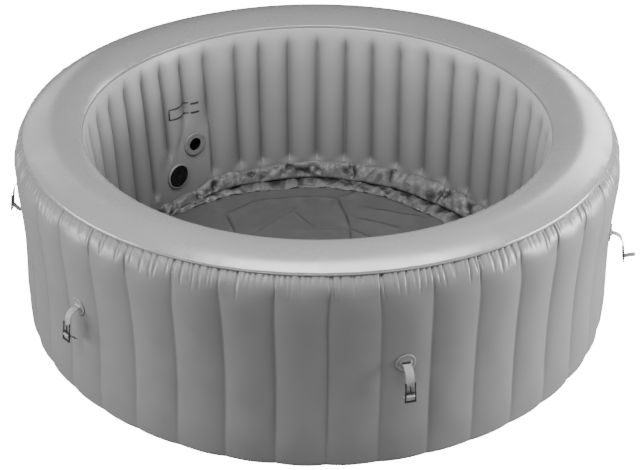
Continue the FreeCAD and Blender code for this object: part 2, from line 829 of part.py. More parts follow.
def make_strap(number, azimuth):
    """Webbing that is sewn to the wall, arches out and folds round the buckle's bar."""
    label = f"strap_{number}"
    half = DIMENSIONS["webbing_thick"] / 2
    arch = strap_arch(number)
    centre, arch_end, fall_end, bar = strap_line(arch)
    arch_size = d.long_strap_arch if number in LONG_STRAPS else d.strap_arch
    up = V(0, 0, 0) - centre
    up.normalize()
    side = arch_end - centre
    side.normalize()
    top_outer = centre + up * (arch + half)
    top_inner = centre + up * (arch - half)
    side_outer = centre + side * (arch + half)
    side_inner = centre + side * (arch - half)
    fall = fall_end - arch_end
    body = doc.addObject("PartDesign::Body", label)
    padded(
        body,
        label + "_webbing",
        d.webbing_wide,
        [
            (top_outer.x, top_outer.y, arch_size + half, -1),
            (side_outer.x, side_outer.y),
            ((side_outer + fall).x, (side_outer + fall).y),
            ((side_inner + fall).x, (side_inner + fall).y),
            (side_inner.x, side_inner.y, arch_size - half, 1),
            (top_inner.x, top_inner.y, half, -1),
        ],
    )
    loop_radius = d.bar_radius + d.webbing_thick + 0.4
    loop_sketch = new_sketch(body, label + "_loop")
    circle(loop_sketch, bar.x, bar.y, loop_radius)
    loop = body.newObject("PartDesign::Pad", label + "_loop_pad")
    loop.Profile = loop_sketch
    loop.SideType = "Symmetric"
    bind(loop, Length=d.webbing_wide)
    tail_heading = -20 if number in OUTWARD_TAIL_STRAPS else 135
    run = heading(tail_heading)
    across = V(-run.y, run.x, 0)
    inner_reach = 3.2
    near = bar + run * inner_reach
    far = bar + run * DIMENSIONS["tail_long"]
    tail = [near + across * half, near - across * half, far - across * half, far + across * half]
    padded(body, label + "_tail", d.webbing_wide, [(p.x, p.y) for p in tail])
    bore_sketch = new_sketch(body, label + "_bore")
    circle(bore_sketch, bar.x, bar.y, d.bar_radius + d.bar_clearance)
    bore = body.newObject("PartDesign::Pocket", label + "_bore_cut")
    bore.Profile = bore_sketch
    bore.SideType = "Symmetric"
    bind(bore, Length=d.webbing_wide + 2)
    keep(body, label, radial(azimuth, ROOT_RADIUS, DIMENSIONS["strap_high"]))


def make_buckle(number, azimuth):
    """Plug half of a side-release buckle: a frame with three bars, two prongs and a guide."""
    label = f"buckle_{number}"
    half_wide = DIMENSIONS["buckle_wide"] / 2
    thick = 4.0
    rail = half_wide - DIMENSIONS["webbing_wide"] / 2 - 0.7
    boxes = [
        # (name, size along the wall's normal, across, along; lowest corner)
        ("left_rail", thick, rail, 32, V(-thick / 2, -half_wide, -20)),
        ("right_rail", thick, rail, 32, V(-thick / 2, half_wide - rail, -20)),
        ("low_bar", thick, half_wide * 2, 5, V(-thick / 2, -half_wide, -20)),
        ("top_bar", thick, half_wide * 2, 5, V(-thick / 2, -half_wide, 8)),
        ("left_prong", 3, 4, DIMENSIONS["prong_long"], V(-1, -half_wide + 0.6, 12.5)),
        ("right_prong", 3, 4, DIMENSIONS["prong_long"], V(-1, half_wide - 4.6, 12.5)),
        ("guide", 2.4, 3.6, 22, V(-0.4, -1.8, 12.5)),
    ]
    pieces = []
    for name, deep, wide, tall, corner in boxes:
        box = doc.addObject("Part::Box", f"{label}_{name}")
        bind(box, Length=deep, Width=wide, Height=tall)
        box.Placement = FreeCAD.Placement(corner, FreeCAD.Rotation())
        pieces.append(box)
    bar = doc.addObject("Part::Cylinder", f"{label}_bar")
    bind(bar, Radius=d.bar_radius, Height=d.buckle_wide - 1)
    bar.Placement = FreeCAD.Placement(V(0, half_wide - 0.5, 0), FreeCAD.Rotation(ALONG_X, 90))
    pieces.append(bar)
    whole = doc.addObject("Part::MultiFuse", label)
    whole.Shapes = pieces
    spot = strap_line(strap_arch(number))[3]
    lean = FreeCAD.Rotation(ALONG_Y, STRAP_END_HEADING - 90)
    local = FreeCAD.Placement(V(spot.x, 0, spot.y), lean)
    keep(whole, label, radial(azimuth, ROOT_RADIUS, DIMENSIONS["strap_high"]) * local)


def make_strap_patches():
    """Round patches that are welded to the wall under each strap's root."""
    patches = []
    for number, azimuth in enumerate(STRAP_AZIMUTHS, start=1):
        body = doc.addObject("PartDesign::Body", f"patch_{number}")
        sketch = new_sketch(body, f"patch_{number}_shape", "YZ_Plane")
        circle(sketch, 0, 0, d.patch_radius)
        pad = body.newObject("PartDesign::Pad", f"patch_{number}_pad")
        pad.Profile = sketch
        bind(pad, Length=d.skin)
        body.Placement = radial(azimuth, PATCH_FACE, DIMENSIONS["strap_high"])
        patches.append(body)
    together = doc.addObject("Part::Compound", "strap_patches")
    together.Links = patches
    keep(together, "strap_patches")


# ---------------------------------------------------------------- the whole tub
make_base_sheet()
make_outer_wall()
make_inner_wall()
make_top_rim()
make_weld("base_weld", d.foot_radius - d.skin / 2, d.base_lip)
make_weld("rim_outer_weld", d.outer_seam_radius - d.skin / 2, d.outer_seam_high)
make_weld("rim_inner_weld", d.inner_seam_radius + d.skin / 2, d.inner_seam_high)
make_wall_baffles()
make_floor_liner()
make_bubble_duct()
make_water_fitting("return", RETURN_AZIMUTH, DIMENSIONS["return_high"], d.return_flange_outer, 0)
strainer_seat = make_water_fitting(
    "suction", SUCTION_AZIMUTH, DIMENSIONS["suction_high"], d.suction_flange_outer, 4
)
make_suction_strainer(strainer_seat)
make_air_riser()
make_air_spigot()
make_valve()
make_drain()
make_strap_patches()
for strap_number, strap_azimuth in enumerate(STRAP_AZIMUTHS, start=1):
    make_strap(strap_number, strap_azimuth)
    make_buckle(strap_number, strap_azimuth)
doc.recompute()

# ---------------------------------------------------------------- checks and files
for item in doc.Objects:
    if "Invalid" in item.State or "Error" in item.State:
        raise RuntimeError(f"{item.Label} failed: {item.State}")
for item in sub_parts:
    if item.Shape.isNull() or not item.Shape.isValid():
        raise RuntimeError(f"{item.Label} has no valid shape")
os.makedirs("parts", exist_ok=True)
for item in sub_parts:
    item.Shape.exportStep(f"parts/{item.Label}.step")
    print(f"{item.Label}: {len(item.Shape.Solids)} solids, {item.Shape.Volume / 1000:.1f} cm3")
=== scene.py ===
"""Looks of the round inflatable hot tub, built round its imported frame.

Metres, in the frame's own axes: the origin is the centre of the base on the ground and +Z is up.
An azimuth is the angle in degrees round the tub from the front (-Y) towards +X.
"""
import math

import bmesh
import bpy
import numpy as np
from mathutils import Matrix, Vector


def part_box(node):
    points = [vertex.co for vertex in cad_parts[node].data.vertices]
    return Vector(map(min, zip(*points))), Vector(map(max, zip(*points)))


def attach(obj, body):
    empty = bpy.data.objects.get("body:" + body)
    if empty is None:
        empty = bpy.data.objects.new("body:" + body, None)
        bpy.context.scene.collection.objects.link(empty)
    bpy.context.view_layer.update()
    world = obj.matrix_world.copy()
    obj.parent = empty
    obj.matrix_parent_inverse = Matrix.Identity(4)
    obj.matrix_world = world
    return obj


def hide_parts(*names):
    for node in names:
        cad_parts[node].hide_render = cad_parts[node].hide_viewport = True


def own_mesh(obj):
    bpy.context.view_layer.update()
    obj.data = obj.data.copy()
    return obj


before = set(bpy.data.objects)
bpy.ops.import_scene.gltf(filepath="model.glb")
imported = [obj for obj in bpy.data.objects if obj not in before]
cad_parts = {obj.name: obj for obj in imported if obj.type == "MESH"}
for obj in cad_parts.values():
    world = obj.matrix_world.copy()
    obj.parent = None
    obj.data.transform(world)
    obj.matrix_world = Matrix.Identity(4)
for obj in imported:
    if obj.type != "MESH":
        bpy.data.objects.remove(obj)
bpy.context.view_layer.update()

# ---- layout
CHAMBERS = 42
CHAMBER_ANGLE = 360 / CHAMBERS
FIRST_WELD = 1.7
RETURN_AZIMUTH, RETURN_HIGH = -139.9, 0.247
SUCTION_AZIMUTH, SUCTION_HIGH = -133.0, 0.136
AIR_AZIMUTH, AIR_HIGH = -148.3, 0.120
VALVE_AZIMUTH, VALVE_HIGH, VALVE_TILT = -114.0, 0.615, 7.78
DRAIN_AZIMUTH, DRAIN_HIGH = 108.9, 0.055
STRAP_AZIMUTHS = (-45.4, 14.6, 74.6, 134.6, -165.4, -94.0)
STRAP_HIGH = 0.369
OUTWARD_TAIL_STRAPS = (3,)
LONG_STRAPS = (6,)

SKIN = 0.0012
FOOT_ROLL = 0.026
OUTER_SEAM_RADIUS = 0.990
OUTER_SEAM_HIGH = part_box("rim_outer_weld")[0].z
INNER_SEAM_RADIUS = 0.794
INNER_SEAM_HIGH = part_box("rim_inner_weld")[0].z
WELD_HIGH = 0.006
RIM_CURVE = 0.165
WALL_RADIUS = 1.02
WALL_WELD_DEPTH = 0.0105
LOBE_ROUND, LOBE_SHARP = 0.86, 0.14
HALF_CHAMBER = 0.0765
LINER_RADIUS = 0.750
WORN_TONE = 0.9
RIB_PITCH, PICK_PITCH = 0.0024, 0.0018
LINER_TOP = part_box("floor_liner")[1].z

rng = np.random.default_rng(11)


# ---- small maths
def smooth(low, high, x):
    """0 below low, 1 above high, with a soft step between."""
    t = np.clip((np.asarray(x, float) - low) / (high - low), 0, 1)
    return t * t * (3 - 2 * t)


def bell(x, centre, wide):
    return np.exp(-(((np.asarray(x, float) - centre) / wide) ** 2))


def wrapped(degrees):
    """An angle brought to between -180 and 180."""
    return (np.asarray(degrees, float) + 180) % 360 - 180


def polar(radius, azimuth, high):
    """Points from cylinder coordinates; azimuths are in degrees."""
    radius, azimuth, high = np.broadcast_arrays(radius, azimuth, high)
    angle = np.radians(azimuth)
    return np.stack([radius * np.sin(angle), -radius * np.cos(angle), high], axis=-1)


def arc_centre(start, finish, radius):
    """Centre of the arc from start to finish that bulges to the right of its run."""
    (x0, z0), (x1, z1) = start, finish
    long = math.hypot(x1 - x0, z1 - z0)
    reach = math.sqrt(radius**2 - long**2 / 4)
    return (x0 + x1) / 2 - (z1 - z0) / long * reach, (z0 + z1) / 2 + (x1 - x0) / long * reach


def rounds(azimuth, high, waves, seed):
    """A smooth uneven surface round the tub, about -1 to 1: waves is a list of (turns, climb)."""
    draw = np.random.default_rng(seed)
    total = 0
    for turns, climb in waves:
        phase = draw.uniform(0, 2 * np.pi, 2)
        total = total + np.sin(np.radians(azimuth) * turns + phase[0]) * np.cos(high * climb + phase[1])
    return total / math.sqrt(len(waves))


def ring_ripple(azimuth, turns, seed):
    """A ripple round the tub that is the same at every height."""
    return rounds(azimuth, 0, [(turn, 0) for turn in turns], seed)


def even_azimuths(steps):
    return np.arange(steps) * 360 / steps


def fold(x):
    """A zigzag of straight runs between -1 and 1, one wave for each 2 pi."""
    return 2 / np.pi * np.arcsin(np.clip(np.sin(x), -1, 1))


# ---- mesh helpers
def add_object(name, data):
    piece = bpy.data.objects.new(name, data)
    bpy.context.scene.collection.objects.link(piece)
    return piece


def mesh_piece(name, points, faces, painted_shade=None):
    """A smooth piece from points and faces, with a share from 0 to 1 of painted shade kept with each point.
    """
    mesh = bpy.data.meshes.new(name)
    mesh.from_pydata(points.reshape(-1, 3).tolist(), [], faces)
    # the share of painted shade at each point, kept as a point attribute for the materials
    if painted_shade is not None:
        layer = mesh.attributes.new("painted_shade", "FLOAT", "POINT")
        layer.data.foreach_set("value", painted_shade.astype(np.float32).ravel())
    mesh.shade_smooth()
    return add_object(name, mesh)


def grid_faces(rows, columns, closed=True, close_rows=False, first=0):
    """The quads of a grid whose points are numbered row by row, beginning at first."""
    index = first + np.arange(rows * columns).reshape(rows, columns)
    if closed:
        index = np.concatenate([index, index[:, :1]], axis=1)
    if close_rows:
        index = np.concatenate([index, index[:1]], axis=0)
    quads = np.stack([index[:-1, :-1], index[:-1, 1:], index[1:, 1:], index[1:, :-1]], axis=-1)
    return quads.reshape(-1, 4)


def grid_piece(name, points, closed=True, painted_shade=None, flip=False, close_rows=False):
    """A piece from rows of points; each row runs round the tub, and closed joins its ends."""
    quads = grid_faces(*points.shape[:2], closed, close_rows)
    if flip:
        quads = quads[:, ::-1]
    return mesh_piece(name, points, quads.tolist(), painted_shade)


def apply_modifiers(piece):
    bpy.ops.object.select_all(action="DESELECT")
    bpy.context.view_layer.objects.active = piece
    piece.select_set(True)
    for modifier in list(piece.modifiers):
        bpy.ops.object.modifier_apply(modifier=modifier.name)
    piece.select_set(False)


def thicken(piece, thickness, offset=-1.0):
    """Gives an open sheet its thickness; an offset of -1 keeps the outside where it is."""
    solid = piece.modifiers.new("thickness", "SOLIDIFY")
    solid.thickness = thickness
    solid.offset = offset
    apply_modifiers(piece)
    piece.data.shade_smooth()


def close_holes(piece, middle=(0, 0, 0), reach=math.inf, turn_out=False):
    """Fills the holes of a mesh that lie within reach of a middle."""
    mesh = bmesh.new()
    mesh.from_mesh(piece.data)
    edges = [e for e in mesh.edges if e.is_boundary and (e.verts[0].co - Vector(middle)).length < reach]
    bmesh.ops.holes_fill(mesh, edges=edges)
    if turn_out:
        bmesh.ops.recalc_face_normals(mesh, faces=mesh.faces)
    mesh.to_mesh(piece.data)
    mesh.free()


def open_ways(piece, ways):
    """Cuts the water and air ways through a wall skin: ways is a list of (azimuth, height, radius)."""
    mesh = bmesh.new()
    mesh.from_mesh(piece.data)
    gone = set()
    for azimuth, high, radius in ways:
        along = Vector(polar(1.0, azimuth, 0.0))
        start = Vector((0, 0, high))
        for face in mesh.faces:
            reach = face.calc_center_median() - start
            ahead = reach.dot(along)
            if ahead > 0 and (reach - along * ahead).length < radius:
                gone.add(face)
    bmesh.ops.delete(mesh, geom=list(gone), context="FACES")
    mesh.to_mesh(piece.data)
    mesh.free()


def finish_piece(piece, body, material, slot, *nodes):
    """Gives a piece its material, its body and the nodes that it stands for; the slot argument is not used.
    """
    piece.data.materials.clear()
    piece.data.materials.append(material)
    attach(piece, body)
    if nodes:
        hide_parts(*nodes)


# ---- material helpers
class Nodes:
    """Short calls for building one node tree."""

    def __init__(self, tree):
        self.tree = tree

    def add(self, kind, inputs=None, **values):
        """A new node; inputs gives sockets by name or number, and values its other settings."""
        node = self.tree.nodes.new(kind)
        for name, value in values.items():
            setattr(node, name, value)
        for socket, value in (inputs or {}).items():
            self.set(node.inputs[socket], value)
        return node

    def set(self, socket, value):
        if isinstance(value, bpy.types.NodeSocket):
            self.tree.links.new(value, socket)
        elif value is not None:
            socket.default_value = value

    def paint(self, shader, **sockets):
        for name, value in sockets.items():
            self.set(shader.inputs[name.replace("_", " ")], value)

    def maths(self, operation, first, second=None):
        return self.add("ShaderNodeMath", {0: first, 1: second}, operation=operation).outputs[0]

    def times(self, first, second):
        return self.maths("MULTIPLY", first, second)

    def plus(self, first, second):
        return self.maths("ADD", first, second)

    def vectors(self, operation, *inputs):
        return self.add("ShaderNodeVectorMath", dict(enumerate(inputs)), operation=operation).outputs

    def remap(self, value, low, high, new_low=0.0, new_high=1.0):
        inputs = dict(enumerate((value, low, high, new_low, new_high)))
        return self.add("ShaderNodeMapRange", inputs, interpolation_type="SMOOTHSTEP").outputs[0]

    def noise(self, vector, scale, detail=3.0, roughness=0.55, distortion=0.0):
        inputs = {"Vector": vector, "Scale": scale, "Detail": detail, "Roughness": roughness,
                  "Distortion": distortion}
        return self.add("ShaderNodeTexNoise", inputs).outputs["Fac"]

    def stretched(self, vector, scale):
        return self.add("ShaderNodeMapping", {"Vector": vector, "Scale": scale}).outputs["Vector"]

    def mix_colour(self, share, first, second):
        node = self.add("ShaderNodeMix", {"Factor": share}, data_type="RGBA")
        for socket, value in zip([s for s in node.inputs if s.type == "RGBA"], (first, second)):
            self.set(socket, value)
        return next(s for s in node.outputs if s.type == "RGBA")

    def group(self, tree, **inputs):
        sockets = {name.replace("_", " "): value for name, value in inputs.items()}
        return self.add("ShaderNodeGroup", sockets, node_tree=tree).outputs

    def bump(self, height, strength, distance, normal=None):
        inputs = {"Height": height, "Strength": strength, "Distance": distance, "Normal": normal}
        return self.add("ShaderNodeBump", inputs).outputs["Normal"]


def effect(name, inputs, *outputs):
    """An empty shader node group, ready to be filled; an input without a number is a vector."""
    tree = bpy.data.node_groups.new(name, "ShaderNodeTree")
    for label, default in inputs.items():
        kind = "NodeSocketVector" if default is None else "NodeSocketFloat"
        socket = tree.interface.new_socket(label, in_out="INPUT", socket_type=kind)
        if default is not None:
            socket.default_value = default
    for label in outputs:
        tree.interface.new_socket(label, in_out="OUTPUT", socket_type="NodeSocketFloat")
    nodes = Nodes(tree)
    return tree, nodes, nodes.add("NodeGroupInput").outputs, nodes.add("NodeGroupOutput").inputs


def make_vinyl_grain():
    """Fine leathery emboss of coated vinyl over its woven core: a height from 0 to 1."""
    tree, n, given, out = effect("vinyl_grain", {"Vector": None, "Core Weave": 0.2}, "Height")
    pebble = n.noise(given["Vector"], 420, 3, 0.6)
    mottle = n.noise(given["Vector"], 60, 2, 0.5)
    weave = n.add("ShaderNodeTexVoronoi", {"Vector": given["Vector"], "Scale": 240}).outputs["Distance"]
    height = n.plus(n.times(pebble, 0.6), n.times(mottle, 0.4))
    n.set(out["Height"], n.plus(height, n.times(weave, given["Core Weave"])))
    return tree


def make_wear():
    """Dull patches and fine handling scratches: masks from 0, fresh, to 1, worn."""
    tree, n, given, out = effect("wear", {"Vector": None, "Patch Scale": 6.0}, "Worn", "Scratches")
    patches = n.noise(given["Vector"], given["Patch Scale"], 5, 0.5)
    n.set(out["Worn"], n.remap(patches, 0.42, 0.68))
    fine = n.noise(n.stretched(given["Vector"], (150, 14, 16)), 3.0, 2, 0.5, 0.4)
    n.set(out["Scratches"], n.remap(fine, 0.66, 0.74))
    return tree


def make_crumple():
    """Sharp-edged facets of creased film: a height, and the thin lines of its creases as a mask for painted
    shade.
    """
    tree, n, given, out = effect("crumple", {"Vector": None, "Scale": 30.0}, "Height", "Crease Shade")

    def cells(output, scale, feature):
        """Distances in a pattern of cells that is scale times as fine as the group's own scale."""
        inputs = {"Vector": moved, "Scale": n.times(given["Scale"], scale)}
        return n.add("ShaderNodeTexVoronoi", inputs, feature=feature).outputs[output]

    warp = n.add("ShaderNodeTexNoise", {"Vector": given["Vector"], "Scale": 14}).outputs
    moved = n.vectors("MULTIPLY_ADD", warp["Color"], (0.03, 0.03, 0.03), given["Vector"])["Vector"]
    large = n.times(cells("Distance", 1.0, "F2"), 0.6)
    small = n.times(cells("Distance", 2.3, "F2"), 0.4)
    n.set(out["Height"], n.plus(large, small))
    # thin lines along the cell edges, kept where the warp allows, as a mask for painted shade
    lines = n.remap(cells("Distance", 0.75, "DISTANCE_TO_EDGE"), 0.0, 0.05, 1.0, 0.0)
    n.set(out["Crease Shade"], n.times(lines, n.remap(warp["Fac"], 0.42, 0.56)))
    return tree


def make_weave():
    """Ribs of narrow webbing from its own UV map, U across and V along in metres; the shade is painted shade,
    darker in the weave's hollows and lighter on its ribs.
    """
    tree, n, given, out = effect("webbing_weave", {"UV": None}, "Height", "Shade")
    parts = n.add("ShaderNodeSeparateXYZ", {0: given["UV"]}).outputs
    across = n.times(parts["X"], 2 * math.pi / RIB_PITCH)
    along = n.times(parts["Y"], 2 * math.pi / PICK_PITCH)
    ribs = n.maths("ABSOLUTE", n.maths("SINE", across))
    picks = n.times(n.maths("SINE", n.plus(along, n.times(ribs, 2.2))), 0.5)
    height = n.plus(n.times(ribs, 0.6), n.times(picks, 0.4))
    n.set(out["Height"], height)
    n.set(out["Shade"], n.remap(height, -0.2, 0.8))
    return tree


VINYL_GRAIN = make_vinyl_grain()
WEAR = make_wear()
CRUMPLE = make_crumple()
WEAVE = make_weave()


def grey(value):
    return (value, value, value * 1.01, 1.0)


def new_material(name, roughness, specular=0.5, coat=0.0, coat_roughness=0.1):
    """A material with one Principled shader, its plain values set on the shader itself."""
    material = bpy.data.materials.new(name)
    material.use_nodes = True
    n = Nodes(material.node_tree)
    shader = material.node_tree.nodes["Principled BSDF"]
    shader.inputs["Roughness"].default_value = roughness
    shader.inputs["Specular IOR Level"].default_value = specular
    shader.inputs["Coat Weight"].default_value = coat
    shader.inputs["Coat Roughness"].default_value = coat_roughness
    place = n.add("ShaderNodeTexCoord").outputs["Object"]
    return material, n, shader, place


def vinyl(name, tone, roughness, grain=0.12, painted_shade_tone=None, crumple=0.0, specular=0.4, coat=0.0,
          bottom_shade_tone=None, top_light_tone=1.0):
    """Coated vinyl sheet: grain, dull worn patches, painted shade in its creases and hollows, and, where
    asked, painted shade towards the bottom and painted light towards the top.
    """
    material, n, shader, place = new_material(name, roughness, specular, coat, 0.22)
    worn = n.group(WEAR, Vector=place, Patch_Scale=5.0)
    normal = n.bump(n.group(VINYL_GRAIN, Vector=place, Core_Weave=0.25)["Height"], grain, 0.0004)
    # each layer is (where it shows, its tone as a share of the sheet's own)
    layers = [(worn["Worn"], WORN_TONE), (n.remap(n.noise(place, 1.6, 4, 0.6), 0.3, 0.7, 0.0, 0.35), 1.08)]
    # painted shade towards the bottom and painted light towards the top, by the height in the object's own
    # coordinates
    if bottom_shade_tone is not None:
        up = n.add("ShaderNodeSeparateXYZ", {0: place}).outputs["Z"]
        layers += [(n.remap(up, 0.0, 0.42, 1.0, 0.0), bottom_shade_tone), (n.remap(up, 0.30, 0.66), top_light_tone)]
    # painted shade in creases, grooves, slots and hollows, darkest where the mesh's point attribute is
    # highest
    if painted_shade_tone is not None:
        layers.append((n.add("ShaderNodeAttribute", attribute_name="painted_shade").outputs["Fac"], painted_shade_tone))
    layers.append((n.times(worn["Scratches"], 0.10), 1.5))
    if crumple:
        facets = n.group(CRUMPLE, Vector=place, Scale=26.0)
        normal = n.bump(facets["Height"], crumple, 0.006, normal)
        # painted shade along the crumple's crease lines
        layers.append((n.times(facets["Crease Shade"], min(0.75, crumple)), 0.2))
    colour = grey(tone)
    for share, factor in layers:
        colour = n.mix_colour(share, colour, grey(tone * factor))
    shine = n.remap(worn["Worn"], 0.0, 1.0, roughness - 0.04, roughness + 0.07)
    n.paint(shader, Base_Color=colour, Roughness=shine, Normal=normal)
    return material


def plastic(name, tone, roughness, coat=0.0, grain=0.15, specular=0.5):
    """Moulded plastic: fine spark texture, soft wear and faint handling scratches."""
    material, n, shader, place = new_material(name, roughness, specular, coat, 0.08)
    worn = n.group(WEAR, Vector=place, Patch_Scale=28.0)
    colour = n.mix_colour(n.times(worn["Worn"], 0.5), grey(tone), grey(tone * 1.35 + 0.003))
    colour = n.mix_colour(n.times(worn["Scratches"], 0.25), colour, grey(tone * 2 + 0.02))
    shine = n.remap(worn["Worn"], 0, 1, roughness - 0.05, roughness + 0.12)
    normal = n.bump(n.noise(place, 900, 2, 0.5), grain, 0.0002)
    n.paint(shader, Base_Color=colour, Roughness=shine, Normal=normal)
    return material


def make_webbing_material():
    material, n, shader, place = new_material("webbing", 0.62, 0.35)
    shader.inputs["Sheen Weight"].default_value = 0.25
    woven = n.group(WEAVE, UV=n.add("ShaderNodeUVMap", uv_map="UVMap").outputs["UV"])
    fuzz = n.noise(place, 130, 4, 0.6)
    # painted shade of the weave: darker in its hollows and lighter on its ribs
    base = n.mix_colour(woven["Shade"], grey(0.13), grey(0.235))
    colour = n.mix_colour(n.remap(fuzz, 0.35, 0.7, 0, 0.3), base, grey(0.28))
    normal = n.bump(fuzz, 0.2, 0.0004, n.bump(woven["Height"], 0.7, 0.0006))
    n.paint(shader, Base_Color=colour, Normal=normal)
    return material


def make_rubber_material():
    material, n, shader, place = new_material("gasket_rubber", 0.7, 0.3)
    colour = n.mix_colour(n.remap(n.noise(place, 40, 4, 0.6), 0.4, 0.7), grey(0.02), grey(0.05))
    n.paint(shader, Base_Color=colour, Normal=n.bump(n.noise(place, 700, 2), 0.2, 0.0003))
    return material


def make_steel_material():
    material, n, shader, place = new_material("spring_wire", 0.3)
    shader.inputs["Metallic"].default_value = 1.0
    drawn = n.noise(n.stretched(place, (300, 300, 40)), 12, 2)
    colour = n.mix_colour(drawn, grey(0.45), grey(0.62))
    n.paint(shader, Base_Color=colour, Roughness=n.remap(drawn, 0.3, 0.7, 0.2, 0.42))
    return material


def make_bored_plastic(name, azimuth, high, radius):
    """Gray flange plastic with painted shade in its own water way: black, with little specular, within a
    radius of the way's axis.
    """
    material, n, shader, place = new_material(name, 0.38)
    middle = n.vectors("SUBTRACT", place, (0, 0, high))["Vector"]
    along = n.vectors("DOT_PRODUCT", middle, Vector(polar(1.0, azimuth, 0.0)))["Value"]
    reach = n.vectors("LENGTH", middle)["Value"]
    squares = n.maths("SUBTRACT", n.maths("POWER", reach, 2), n.maths("POWER", along, 2))
    far = n.maths("SQRT", n.maths("MAXIMUM", squares, 0))
    # painted shade: the water way's bore is painted black and its reflection is turned down
    inside = n.remap(far, radius - 0.0005, radius + 0.0005, 1.0, 0.0)
    worn = n.group(WEAR, Vector=place, Patch_Scale=28.0)
    tone = n.mix_colour(n.times(worn["Worn"], 0.5), grey(0.14), grey(0.18))
    normal = n.bump(n.noise(place, 900, 2, 0.5), 0.15, 0.0002)
    gloss = n.remap(inside, 0, 1, 0.5, 0.1)
    colour = n.mix_colour(inside, tone, grey(0.003))
    n.paint(shader, Base_Color=colour, Specular_IOR_Level=gloss, Normal=normal)
    return material


# The tone given for creases is painted shade in creases, grooves, slots and hollows.
WALL_SHEET = vinyl("wall_sheet", 0.130, 0.40, painted_shade_tone=0.45)
# the bowl wall is painted darker towards its bottom as painted shade and lighter towards its top as painted
# light
INNER_SHEET = vinyl("inner_wall_sheet", 0.220, 0.38, painted_shade_tone=0.34, bottom_shade_tone=0.62, top_light_tone=1.32)
RIM_SHEET = vinyl("rim_sheet", 0.165, 0.30, grain=0.06, specular=1.0, coat=0.5)
WELD_SHEET = vinyl("weld_band", 0.15, 0.42)
BASE_SHEET = vinyl("base_sheet", 0.10, 0.55)
LINER_SHEET = vinyl("floor_liner", 0.056, 0.33, crumple=0.14, painted_shade_tone=0.22, specular=0.9)
DUCT_SHEET = vinyl("duct_sheet", 0.100, 0.42, crumple=0.7, painted_shade_tone=0.20, specular=0.25)
PATCH_SHEET = vinyl("patch_sheet", 0.140, 0.38, painted_shade_tone=0.12)
BLACK_PLASTIC = plastic("black_plastic", 0.007, 0.30)
GLOSS_PLASTIC = plastic("gloss_black_plastic", 0.003, 0.12, coat=0.3, grain=0.04, specular=0.3)
GRAY_PLASTIC = plastic("gray_plastic", 0.22, 0.38)
PIPE_PLASTIC = plastic("pipe_plastic", 0.45, 0.35)
PRINTED_INK = plastic("printed_ink", 0.012, 0.45)
RETURN_PLASTIC = make_bored_plastic("return_flange_plastic", RETURN_AZIMUTH, RETURN_HIGH, 0.0262)
SUCTION_PLASTIC = make_bored_plastic("suction_flange_plastic", SUCTION_AZIMUTH, SUCTION_HIGH, 0.0455)
WEBBING = make_webbing_material()
RUBBER = make_rubber_material()
STEEL = make_steel_material()


# ---- air chamber walls
CROWN_LINE = (
    # (height, radius) at the middle of a chamber: a full foot, a slight waist and a full shoulder
    (0.026, 1.0270), (0.100, 1.0285), (0.200, 1.0230), (0.310, 1.0185), (0.420, 1.0190), (0.500, 1.0220),
    (0.555, 1.0245), (0.590, 1.0230), (0.620, 1.0180), (0.645, 1.0080), (0.669, 0.9895),
)


def through(x, knots):
    """A smooth curve through (x, y) knots."""
    xs, ys = np.array(knots).T
    slopes = np.gradient(ys, xs)
    x = np.asarray(x, float)
    i = np.clip(np.searchsorted(xs, x) - 1, 0, len(xs) - 2)
    gap = xs[i + 1] - xs[i]
    t = np.clip((x - xs[i]) / gap, 0, 1)
    start = (1 + 2 * t) * (1 - t) ** 2 * ys[i] + t * (1 - t) ** 2 * gap * slopes[i]
    return start + t * t * (3 - 2 * t) * ys[i + 1] + t * t * (t - 1) * gap * slopes[i + 1]


def outer_radius(high):
    """Radius of the outer wall at the middle of a chamber."""
    return through(high, CROWN_LINE)


FITTING_SEATS = (
    # (azimuth, height, how far the wall is held in by the fitting)
    (RETURN_AZIMUTH, RETURN_HIGH, 0.003), (SUCTION_AZIMUTH, SUCTION_HIGH, 0.0125),
    (AIR_AZIMUTH, AIR_HIGH, 0.0125), (VALVE_AZIMUTH, VALVE_HIGH, 0.0195), (DRAIN_AZIMUTH, DRAIN_HIGH, 0.018),
)

# each way through a wall skin is (azimuth, height, radius)
WATER_WAYS = [(RETURN_AZIMUTH, RETURN_HIGH, 0.033), (SUCTION_AZIMUTH, SUCTION_HIGH, 0.033)]
INNER_WAYS = WATER_WAYS + [(DRAIN_AZIMUTH, DRAIN_HIGH, 0.017)]
OUTER_WAYS = INNER_WAYS + [(AIR_AZIMUTH, AIR_HIGH, 0.014), (VALVE_AZIMUTH, VALVE_HIGH, 0.0175)]


def seat_depth(azimuth, high):
    """How far the wall is held in beside the fittings."""
    total = 0
    for seat_azimuth, seat_high, depth in FITTING_SEATS:
        along = np.radians(wrapped(azimuth - seat_azimuth))
        far = np.hypot(along * WALL_RADIUS, high - seat_high)
        total = np.maximum(total, depth * (1 - smooth(0.062, 0.130, far)))
    return total


BOWL_LINE = (
    # (height, radius) of the inner wall before its lobes are added
    (0.0, 0.757), (0.300, 0.7680), (0.500, 0.7755), (0.580, 0.7790), (0.625, 0.7840), (0.661, 0.7945),
)


def inner_radius(high):
    """Radius of the inner wall, midway between its crowns and its welds."""
    return through(high, BOWL_LINE)


def chamber_columns(steps, bias):
    """The columns round a wall, closer together near its welds: their places in a chamber from 0 to 1,
    and the numbers of their chambers."""
    even = np.arange(steps) / steps
    across = even - bias * np.sin(2 * np.pi * even) / (2 * np.pi)
    return np.tile(across, CHAMBERS), np.repeat(np.arange(CHAMBERS), steps)


